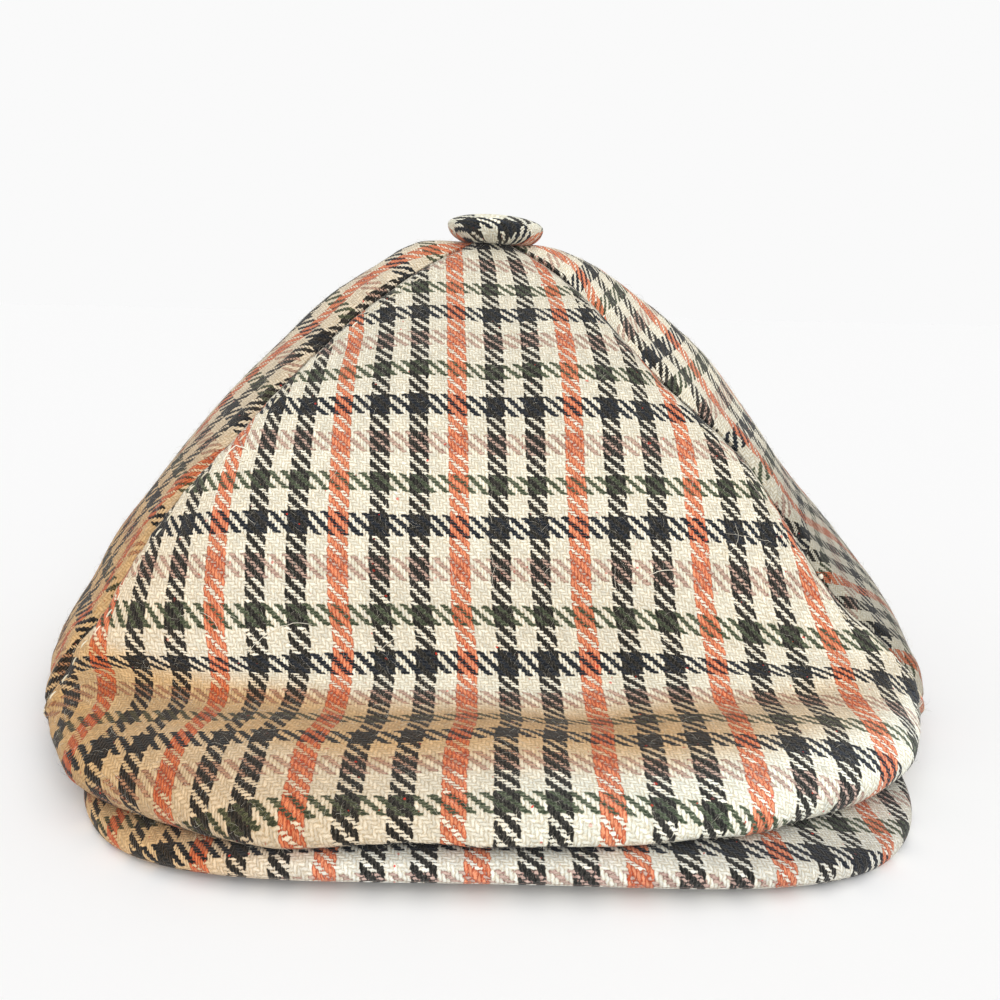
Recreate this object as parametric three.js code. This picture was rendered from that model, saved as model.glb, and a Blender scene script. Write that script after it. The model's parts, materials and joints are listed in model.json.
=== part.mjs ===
// A newsboy-style flat cap in checked tweed, as it lies on a table: a wide front panel that runs
// forward over a stiff peak, side and back panels that meet it under a covered button, and a cloth
// band round the head opening. Millimetres, +Z up, the peak points to -Y, the table is z = 0.
import * as THREE from 'three';

// ---- driving dimensions -------------------------------------------------------------------------

const CLOTH = 2;                  // a crown panel: tweed on its fused backing
const GAP = 0.3;                  // clearance between two pieces that are sewn together
const CROWN_AXIS_Y = 8;           // the panels' points meet on this upright axis, under the button

const BAND = {
  halfWidth: 88,                  // outside of the head opening on the table, across the cap
  halfLength: 94,                 // and along it
  centreY: 31,
  thickness: 2,
  height: 28,
  lean: 4,                        // how far the band's upper edge leans in
  segments: 56,
};

const PEAK = {
  centreX: 2,                     // the peak has been sewn on a little to one side
  halfWidth: 94.5,
  frontY: -134,
  widestY: -40,                   // where its outline is at its widest
  squareness: 3.6,                // exponent of the outline: 2 is an ellipse, more is squarer
  skew: -0.028,                   // its front edge runs this much forward for each mm across
  tip: { x: 93, y: -14 },         // its two ends lie against the band
  tipShare: 0.12,                 // the part of its sections between a tip and the widest place
  thickness: 4.5,
  tipThickness: 3,
  arch: 3.5,                      // its middle stands this much above its two sides
  archHalfWidth: 75,
  edgeRadius: 2,
  edgeAngles: [-60, -20, 20, 60], // points round its rolled edge, in degrees
  sections: 48,
};

const BUTTON = { radius: 14.5, height: 8.8, base: 123.9, segments: 28 };

// The crown, as sections in upright planes through its axis. A row gives a direction in degrees
// from the front, then how far out (r) and how high (z) each named line of the crown lies there.
// The cap's two sides are alike.
const LINES = ['top', 'shoulder', 'upper', 'middle', 'lower', 'knee', 'foot', 'shelf', 'brow', 'roll', 'lip'];
const SECTIONS = [
  {
    azimuth: 0,
    r: [6, 24, 44, 54, 66, 75, 86, 104, 122, 134, 139],
    z: [123.4, 106, 84, 65, 42, 19, 14, 14.5, 16, 15, 11],
  },
  {
    azimuth: 20,
    r: [6, 25, 47, 58, 71, 80, 92, 110, 127, 138, 142],
    z: [123.4, 107, 86, 66, 42, 20, 15, 15, 15.5, 14, 10],
  },
  {
    azimuth: 38,
    r: [6, 28, 53, 70, 86, 99, 108, 120, 132, 139, 141],
    z: [123.4, 108, 87, 66, 44, 24, 17, 16, 15, 12.5, 9],
  },
  {
    azimuth: 55,
    r: [6, 30, 57, 80, 100, 116, 124, 128.5, 131, 132, 131.5],
    z: [123.4, 111, 91, 72, 50, 31, 23, 17, 13, 10, 8],
  },
  {
    azimuth: 80,
    r: [6, 31, 59, 79, 98, 115, 121, 124, 125, 124.5, 123.5],
    z: [123.4, 117, 98, 77, 54, 33, 24, 16, 12, 9, 7.5],
  },
  {
    azimuth: 108,
    r: [6, 31, 60, 82, 100, 116, 121, 124, 124.5, 124, 123],
    z: [123.4, 118, 100, 79, 56, 35, 25, 17, 12, 9, 7.5],
  },
  {
    azimuth: 142,
    r: [6, 31, 62, 84, 102, 117, 122, 124, 124.5, 124, 123],
    z: [123.4, 119, 102, 81, 58, 37, 27, 18, 12, 9, 7.5],
  },
  {
    azimuth: 180,
    r: [6, 32, 62, 87, 106, 119.5, 124.5, 126.2, 126.4, 126, 125],
    z: [123.4, 119, 103, 83, 61, 39, 28, 18, 12, 9, 7.5],
  },
];
// The shelf over the peak follows the peak to one side, and its other side runs further forward.
const SHELF = { shift: 2.3, skew: 0.03, widestAzimuth: 60 };

// Where the rows of a panel's mesh lie, counted in named lines from the top, and then along the
// underside: 'tuck' is just behind the lip, 'edge' is sewn to the band.
const ROWS = [
  0, 0.5, 1, 1.5, 2, 2.5, 3, 3.5, 4, 4.5, 5, 5.5, 6, 6.5, 7, 7.5,
  8, 8.5, 9, 9.5, 10, 10.4, 11, 12, 13, 14,
];
const TUCK = { inFromLip: 3.5, clearance: 0.6 };

// Each panel runs between two sections, which are counted once round the crown from the front.
const PANELS = [
  { name: 'front_panel', from: -3, to: 3, columnsPerSection: 4, color: 0xd9cba4 },
  { name: 'right_side_panel', from: 3, to: 5, columnsPerSection: 5, color: 0xcdb98f },
  { name: 'back_right_panel', from: 5, to: 7, columnsPerSection: 5, color: 0xd3c39b },
  { name: 'back_left_panel', from: 7, to: 9, columnsPerSection: 5, color: 0xcdb98f },
  { name: 'left_side_panel', from: 9, to: 11, columnsPerSection: 5, color: 0xd3c39b },
];

// ---- helpers ------------------------------------------------------------------------------------

const V = (x, y, z) => new THREE.Vector3(x, y, z);
const lerp = THREE.MathUtils.lerp;

// A closed solid from a list of closed rings of points. Neighbouring rings are joined, and the
// first and last are either joined to each other or covered by a fan of triangles.
function ringSolid(rings, joined) {
  const n = rings[0].length;
  const positions = rings.flat().flatMap((p) => [p.x, p.y, p.z]);
  const index = [];
  const bands = joined ? rings.length : rings.length - 1;
  for (let k = 0; k < bands; k++) {
    const a = k * n;
    const b = ((k + 1) % rings.length) * n;
    for (let i = 0; i < n; i++) {
      const j = (i + 1) % n;
      index.push(a + i, a + j, b + j, a + i, b + j, b + i);
    }
  }
  if (!joined) {
    const last = (rings.length - 1) * n;
    for (let i = 1; i < n - 1; i++) {
      index.push(0, i + 1, i, last, last + i, last + i + 1);
    }
  }
  const geometry = new THREE.BufferGeometry();
  geometry.setAttribute('position', new THREE.Float32BufferAttribute(positions, 3));
  geometry.setIndex(index);
  geometry.computeVertexNormals();
  return geometry;
}

// Half the outside width and length of the band at a height.
function bandSize(z) {
  const inwards = BAND.lean * z / BAND.height;
  return { x: BAND.halfWidth - inwards, y: BAND.halfLength - inwards };
}

// How far from the crown's axis the band's outside lies, along a direction in plan.
function bandReach(sin, cos, clearance) {
  const a = BAND.halfWidth + clearance;
  const b = BAND.halfLength + clearance;
  const dy = CROWN_AXIS_Y - BAND.centreY;
  // (r sin / a)^2 + ((dy - r cos) / b)^2 = 1
  const qa = (sin / a) ** 2 + (cos / b) ** 2;
  const qb = -2 * dy * cos / b ** 2;
  const qc = (dy / b) ** 2 - 1;
  return (-qb + Math.sqrt(qb ** 2 - 4 * qa * qc)) / (2 * qa);
}

// How much the peak's underside stands above the table.
function archHeight(x, y) {
  const side = Math.min(1, Math.abs(x) / PEAK.archHalfWidth);
  return y < CROWN_AXIS_Y ? PEAK.arch * (1 - side ** 2) : 0;
}

// ---- the crown's surface ------------------------------------------------------------------------

// One closed curve round the crown for each named line.
function lineCurves() {
  const half = SECTIONS.length - 1;
  const around = [...SECTIONS, ...SECTIONS.slice(1, half).reverse()];
  return LINES.map((_, line) => new THREE.CatmullRomCurve3(around.map((section, k) => {
    const angle = THREE.MathUtils.degToRad(section.azimuth) * (k > half ? -1 : 1);
    const x = section.r[line] * Math.sin(angle);
    const y = CROWN_AXIS_Y - section.r[line] * Math.cos(angle);
    const onShelf = section.azimuth < SHELF.widestAzimuth && line > LINES.indexOf('foot');
    return onShelf
      ? V(x + SHELF.shift, y + SHELF.skew * x, section.z[line])
      : V(x, y, section.z[line]);
  }), true, 'catmullrom', 0.5));
}

const CURVES = lineCurves();
const AROUND = 2 * (SECTIONS.length - 1);

// The crown's profile at one place round it: the named lines, then the underside back to the band.
function profileAt(place) {
  const u = THREE.MathUtils.euclideanModulo(place / AROUND, 1);
  const points = CURVES.map((curve) => curve.getPoint(u));
  const lip = points[points.length - 1];
  const reach = Math.hypot(lip.x, lip.y - CROWN_AXIS_Y);
  const sin = lip.x / reach;
  const cos = (CROWN_AXIS_Y - lip.y) / reach;
  const underside = (r) => {
    const x = r * sin;
    const y = CROWN_AXIS_Y - r * cos;
    return V(x, y, PEAK.thickness + archHeight(x, y) + TUCK.clearance);
  };
  const tuck = reach - TUCK.inFromLip;
  const edge = bandReach(sin, cos, GAP);
  for (const share of [0, 0.2, 0.6, 1]) {
    points.push(underside(lerp(tuck, edge, share)));
  }
  return new THREE.CatmullRomCurve3(points, false, 'catmullrom', 0.5);
}

// A point of the crown's outer surface and the direction out of the cloth there.
function crownPoint(place, row) {
  const step = 0.02;
  const profile = profileAt(place);
  const spans = profile.points.length - 1;
  const point = profile.getPoint(row / spans);
  const down = profile.getPoint(Math.min(1, (row + step) / spans))
    .sub(profile.getPoint(Math.max(0, (row - step) / spans)));
  const along = profileAt(place + step).getPoint(row / spans)
    .sub(profileAt(place - step).getPoint(row / spans)).normalize();
  const out = down.cross(along).normalize();
  return { point, along, out };
}

// A panel's closed solid: its outer face, the same face one cloth's thickness in, and its rims.
function panelGeometry({ from, to, columnsPerSection }) {
  const columns = (to - from) * columnsPerSection;
  const rings = [];
  for (let column = 0; column <= columns; column++) {
    const side = column === 0 ? 1 : column === columns ? -1 : 0;
    const outer = [];
    const inner = [];
    for (const row of ROWS) {
      const { point, along, out } = crownPoint(from + column / columnsPerSection, row);
      point.addScaledVector(along, side * GAP / 2);
      outer.push(point);
      inner.unshift(point.clone().addScaledVector(out, -CLOTH));
    }
    rings.push([...outer, ...inner]);
  }
  return stripSolid(rings);
}

// A solid from bent strips: each ring is a long thin loop, the outer face down and the inner face
// back up, so the end covers are strips of quads between the two faces.
function stripSolid(rings) {
  const n = rings[0].length;
  const geometry = ringSolid(rings, true);
  const index = [];
  const kept = (rings.length - 1) * n * 6;
  for (let k = 0; k < kept; k++) {
    index.push(geometry.index.getX(k));
  }
  const last = (rings.length - 1) * n;
  for (let i = 0; i < n / 2 - 1; i++) {
    const a = i;
    const b = i + 1;
    const c = n - 2 - i;
    const d = n - 1 - i;
    index.push(a, c, b, a, d, c);
    index.push(last + a, last + b, last + c, last + a, last + c, last + d);
  }
  geometry.setIndex(index);
  geometry.computeVertexNormals();
  return geometry;
}

// ---- peak, band and button ----------------------------------------------------------------------

// The peak's outline: its two sides and front are one superellipse, closed back to the tips.
function peakOutline(t) {
  const angle = lerp(-Math.PI / 2, Math.PI / 2, t);
  const power = 2 / PEAK.squareness;
  const x = PEAK.halfWidth * Math.sign(Math.sin(angle)) * Math.abs(Math.sin(angle)) ** power;
  const y = PEAK.widestY - (PEAK.widestY - PEAK.frontY) * Math.cos(angle) ** power;
  return V(x + PEAK.centreX, y + PEAK.skew * x, 0);
}

function peakGeometry() {
  const rings = [];
  for (let k = 0; k <= PEAK.sections; k++) {
    const t = k / PEAK.sections;
    const side = t < 0.5 ? -1 : 1;
    const fromTip = Math.min(t, 1 - t) / PEAK.tipShare;
    let outer = peakOutline(THREE.MathUtils.clamp((t - PEAK.tipShare) / (1 - 2 * PEAK.tipShare), 0, 1));
    if (fromTip < 1) {
      const tip = V(side * PEAK.tip.x, PEAK.tip.y, 0);
      outer = tip.lerp(outer, fromTip);
    }
    // the inner edge follows the band
    const reach = Math.hypot(outer.x, outer.y - CROWN_AXIS_Y);
    const sin = outer.x / reach;
    const cos = (CROWN_AXIS_Y - outer.y) / reach;
    const start = bandReach(sin, cos, GAP);
    const thickness = lerp(PEAK.tipThickness, PEAK.thickness, Math.min(1, fromTip));
    const radius = PEAK.edgeRadius * thickness / PEAK.thickness;
    const at = (r, z) => {
      const x = r * sin;
      const y = CROWN_AXIS_Y - r * cos;
      return V(x, y, z + archHeight(x, y));
    };
    const rim = PEAK.edgeAngles.map((degrees) => {
      const angle = THREE.MathUtils.degToRad(degrees);
      return at(reach - radius * (1 - Math.cos(angle)), thickness * (1 + Math.sin(angle)) / 2);
    });
    const middle = lerp(start, reach, 0.5);
    rings.push([
      at(start, 0), at(middle, 0), at(reach - radius, 0), ...rim,
      at(reach - radius, thickness), at(middle, thickness), at(start, thickness),
    ].reverse());
  }
  return ringSolid(rings, false);
}

function bandGeometry() {
  const rings = [];
  for (let k = 0; k < BAND.segments; k++) {
    const angle = 2 * Math.PI * k / BAND.segments;
    const at = (z, inset) => {
      const size = bandSize(z);
      const x = (size.x - inset) * Math.cos(angle);
      const y = BAND.centreY + (size.y - inset) * Math.sin(angle);
      return V(x, y, z);
    };
    rings.push([
      at(0, BAND.thickness), at(BAND.height, BAND.thickness), at(BAND.height, 0), at(0, 0),
    ]);
  }
  return ringSolid(rings, true);
}

// A covered button: a shallow foot, a rolled rim and a domed top.
function buttonGeometry() {
  const { radius, height, base, segments } = BUTTON;
  const profile = [
    [0, 0], [0.55, 0], [0.78, 0.12], [0.95, 0.3], [1, 0.5], [0.96, 0.68],
    [0.83, 0.83], [0.6, 0.93], [0.32, 0.985], [0, 1],
  ].map(([r, h]) => new THREE.Vector2(r * radius, h * height));
  const geometry = new THREE.LatheGeometry(profile, segments);
  geometry.rotateX(Math.PI / 2);
  geometry.translate(0, CROWN_AXIS_Y, base);
  return geometry;
}

// ---- the cap ------------------------------------------------------------------------------------

const cap = new THREE.Group();
cap.name = 'flat_cap';

function add(name, geometry, color, roughness = 0.95) {
  const material = new THREE.MeshStandardMaterial({ color, roughness, metalness: 0 });
  const mesh = new THREE.Mesh(geometry, material);
  mesh.name = name;
  cap.add(mesh);
}

for (const panel of PANELS) {
  add(panel.name, panelGeometry(panel), panel.color);
}
add('peak', peakGeometry(), 0x9aa07c);
add('head_band', bandGeometry(), 0x3a3f44);
add('button', buttonGeometry(), 0xb9694a);

export default cap;
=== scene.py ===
"""A newsboy-style flat cap in checked tweed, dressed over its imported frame.

The crown's five panels are cloth sheets laid on the same sections as the frame, with their seams,
topstitching and creases. Lengths are in millimetres up to the moment that a mesh is made, and
then in metres.
"""

from __future__ import annotations

import json
import logging
import math
from collections.abc import Iterator
from contextlib import contextmanager
from dataclasses import dataclass, field
from enum import Enum

import bpy
import numpy as np
from mathutils import Matrix, Vector

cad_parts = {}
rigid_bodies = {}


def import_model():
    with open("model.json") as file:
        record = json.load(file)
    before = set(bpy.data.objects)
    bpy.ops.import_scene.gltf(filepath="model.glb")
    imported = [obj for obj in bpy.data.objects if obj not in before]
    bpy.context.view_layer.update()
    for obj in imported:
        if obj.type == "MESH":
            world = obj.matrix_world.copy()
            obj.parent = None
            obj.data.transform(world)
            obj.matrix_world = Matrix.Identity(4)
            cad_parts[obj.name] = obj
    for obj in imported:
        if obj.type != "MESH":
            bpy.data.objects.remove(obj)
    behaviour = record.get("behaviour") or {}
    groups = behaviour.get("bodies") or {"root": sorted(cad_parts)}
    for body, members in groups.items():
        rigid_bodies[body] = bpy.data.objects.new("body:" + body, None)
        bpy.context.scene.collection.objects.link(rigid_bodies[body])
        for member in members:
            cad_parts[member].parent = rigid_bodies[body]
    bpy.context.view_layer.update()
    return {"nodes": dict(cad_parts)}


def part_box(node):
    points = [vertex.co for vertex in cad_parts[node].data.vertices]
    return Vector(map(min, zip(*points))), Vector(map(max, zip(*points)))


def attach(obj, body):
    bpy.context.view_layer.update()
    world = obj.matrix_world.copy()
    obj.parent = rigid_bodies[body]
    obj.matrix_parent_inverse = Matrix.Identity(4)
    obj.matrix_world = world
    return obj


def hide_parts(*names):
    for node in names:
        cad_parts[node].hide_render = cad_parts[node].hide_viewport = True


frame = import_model()

log = logging.getLogger("flat_cap")

Array = np.ndarray
Random = np.random.Generator
Socket = bpy.types.NodeSocket
Thing = bpy.types.Object

MM = 0.001                  # metres in a millimetre
SEED = 41
BODY = "root"
WEAVE_MAP = "weave"         # the grain map: threads across and threads down
TONE_MAP = "tone"           # a point attribute: how dark a loose fibre is
PAINTED_LIGHT_MAP = "shelter"     # a point attribute: painted light and shade, a colour multiplied into the cloth's own
WARP_THREADS = 36           # threads in one repeat of the check across the cloth
WEFT_THREADS = 40           # and down it
STRIPES = 6                 # stripes in one repeat
NAVY_TO_GREEN = 1 / 3       # from a navy stripe back to the green one, in repeats
WARP_REPEAT = 30.3          # one repeat of the check across the cloth
WEFT_REPEAT = 32.5          # and along it, where it lies unstretched
CLOTH = 2.0                 # a panel's thickness: tweed on its fused backing
AXIS_Y = 8.0                # the upright axis on which the panels' points meet
WARM_LIGHT = (0.82, 0.56, 0.33)     # painted warm bounce light off other cloth, multiplied into the colour
GREY_LOSS = 0.6             # how far the deepest painted shade darkens the colour
WEFT_DRAW = 500             # added to a weft's number, so that its slubs are no warp's


def srgb(red: int, green: int, blue: int) -> tuple[float, float, float, float]:
    """Turn a display colour into a linear one.

    Args:
        red, green, blue: The colour's parts, from 0 to 255.

    Returns:
        The linear colour, with full alpha.
    """
    def linear(part: int) -> float:
        """Linear value of one part."""
        share = part / 255
        return share / 12.92 if share <= 0.04045 else ((share + 0.055) / 1.055) ** 2.4

    return linear(red), linear(green), linear(blue), 1.0


def smoothstep(low: float, high: float, value: Array) -> Array:
    """Rise smoothly from 0 at low to 1 at high."""
    share = np.clip((value - low) / (high - low), 0.0, 1.0)
    return share * share * (3 - 2 * share)


def bell(where: Array, middle: float, width: float) -> Array:
    """A bell curve, 1 at its middle."""
    return np.exp(-((where - middle) / width) ** 2)


def soft_curve(where: Array, places: tuple, values: tuple, steps: int = 300,
               window: int = 31) -> Array:
    """A smooth curve past a few values.

    Args:
        where: Where it is read.
        places, values: What it runs past.
        steps: How many steps it is worked out in.
        window: How many steps are smoothed over, an odd number.

    Returns:
        The curve's values.
    """
    fine = np.linspace(places[0], places[-1], steps)
    weights = np.hanning(window)
    rough = np.pad(np.interp(fine, places, values), window // 2, mode="edge")
    smooth = np.convolve(rough, weights / weights.sum(), mode="valid")
    return np.interp(where, fine, smooth)


# ---- shader bench ----


class Wire:
    """A number that runs through a shader, and adds Math nodes as it is used in sums."""

    def __init__(self, bench: Bench, socket: Socket) -> None:
        """Hold a socket of the bench's tree."""
        self.bench = bench
        self.socket = socket

    def math(self, operation: str, *others: Wire | float) -> Wire:
        """Add one Math node for this value and the further ones, and give its result."""
        inputs = dict(enumerate((self, *others)))
        return self.bench.wire("ShaderNodeMath", {"operation": operation}, inputs)

    def __add__(self, other: Wire | float) -> Wire:
        """Sum."""
        return self.math("ADD", other)

    __radd__ = __add__

    def __sub__(self, other: Wire | float) -> Wire:
        """Difference."""
        return self.math("SUBTRACT", other)

    def __rsub__(self, other: float) -> Wire:
        """Difference, reflected."""
        return self.bench.value("SUBTRACT", other, self)

    def __mul__(self, other: Wire | float) -> Wire:
        """Product."""
        return self.math("MULTIPLY", other)

    __rmul__ = __mul__

    def __truediv__(self, other: Wire | float) -> Wire:
        """Quotient."""
        return self.math("DIVIDE", other)

    def floor(self) -> Wire:
        """The whole number below."""
        return self.math("FLOOR")

    def wrap(self, count: float) -> Wire:
        """The remainder, never below 0."""
        return self.math("FLOORED_MODULO", count)

    def over(self, limit: float) -> Wire:
        """1 where the value is over a limit, else 0."""
        return self.math("GREATER_THAN", limit)

    def rise(self, low: float, high: float) -> Wire:
        """Rise from 0 at low to 1 at high, smoothly."""
        settings = {"interpolation_type": "SMOOTHSTEP"}
        return self.bench.wire("ShaderNodeMapRange", settings, {0: self, 1: low, 2: high})

    def shade(self, gain_and_base: tuple[float, float]) -> Wire:
        """A brightness: a gain for this value, on top of a base."""
        return self * gain_and_base[0] + gain_and_base[1]

    def pick(self, when_one: Wire | float, when_zero: Wire | float) -> Wire:
        """Choose between two values by this one, which is 0 or 1."""
        return self * (when_one - when_zero) + when_zero


class Bench:
    """Builds the nodes of one material, or of the world."""

    def __init__(self, owner: bpy.types.Material | bpy.types.World) -> None:
        """Start with an empty tree.

        Args:
            owner: The material or world.
        """
        self.owner = owner
        owner.use_nodes = True
        self.tree = owner.node_tree
        self.tree.nodes.clear()

    def node(self, kind: str, settings: dict | None = None, inputs: dict | None = None) -> bpy.types.Node:
        """Add a node.

        Args:
            kind: The node's type.
            settings: Properties that are set first.
            inputs: A value, a socket or a Wire for each input, by name or number.

        Returns:
            The node.
        """
        made = self.tree.nodes.new(kind)
        for name, value in (settings or {}).items():
            if name == "stops":
                self._stops(made.color_ramp, value)
            else:
                setattr(made, name, value)
        for key, value in (inputs or {}).items():
            if isinstance(value, Wire):
                self.tree.links.new(value.socket, made.inputs[key])
            elif isinstance(value, Socket):
                self.tree.links.new(value, made.inputs[key])
            else:
                made.inputs[key].default_value = value
        return made

    def _stops(self, ramp: bpy.types.ColorRamp, stops: list[tuple]) -> None:
        """Give a ramp hard-edged stops.

        Args:
            ramp: The ramp.
            stops: A place and a colour for each stop.
        """
        ramp.interpolation = "CONSTANT"
        while len(ramp.elements) < len(stops):
            ramp.elements.new(1.0)
        for element, (place, colour) in zip(ramp.elements, stops):
            element.position = place
            element.color = colour

    def wire(self, kind: str, settings: dict | None = None, inputs: dict | None = None,
             output: int | str = 0) -> Wire:
        """Add a node, as above, and take one of its outputs as a number."""
        return Wire(self, self.node(kind, settings, inputs).outputs[output])

    def value(self, operation: str, *values: Wire | float) -> Wire:
        """Add a Math node whose first value may be a plain number."""
        return self.wire("ShaderNodeMath", {"operation": operation}, dict(enumerate(values)))

    def mix(self, share: Wire | float, first: object, second: object,
            blend: str = "MIX") -> Socket:
        """Mix a share of a second colour into the first, and give the colour."""
        settings = {"data_type": "RGBA", "blend_type": blend}
        return self.node("ShaderNodeMix", settings, {0: share, 6: first, 7: second}).outputs[2]

    def grey(self, level: Wire) -> Socket:
        """Make a grey colour from a number."""
        return self.node("ShaderNodeCombineColor", None, {0: level, 1: level, 2: level}).outputs[0]

    def vector(self, x: Wire | float, y: Wire | float, z: Wire | float = 0.0) -> Socket:
        """Make a vector from three numbers."""
        return self.node("ShaderNodeCombineXYZ", None, {0: x, 1: y, 2: z}).outputs[0]

    def noise(self, place: Socket, scale: float, detail: float = 2.0, output: int = 0) -> Wire:
        """Add a noise texture and take its value (output 0) or colour (output 1)."""
        inputs = {"Vector": place, "Scale": scale, "Detail": detail}
        return self.wire("ShaderNodeTexNoise", {"noise_dimensions": "3D"}, inputs, output)

    def finish(self, constants: dict, links: dict) -> bpy.types.Material:
        """Close the material with a Principled shader: its constants, and what varies."""
        shader = self.node("ShaderNodeBsdfPrincipled", None, {**constants, **links})
        self.node("ShaderNodeOutputMaterial", None, {"Surface": shader.outputs[0]})
        return self.owner


# ---- finishes ----


@dataclass(frozen=True)
class Yarn:
    """A wool yarn, spun from fibres of two colours."""

    colour: tuple
    other: tuple
    bulk: float     # how well it covers the yarns that cross it, from 0 to 1


@dataclass(frozen=True)
class Float:
    """A stretch of thread that lies on top, as the shader works it out at each point."""

    height: Wire
    chance: Wire        # a number of the float's own
    grain: Socket       # the grain map, drawn out along it
    colour: Socket      # the yarn's main fibre,
    other: Socket       # and its other one


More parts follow.
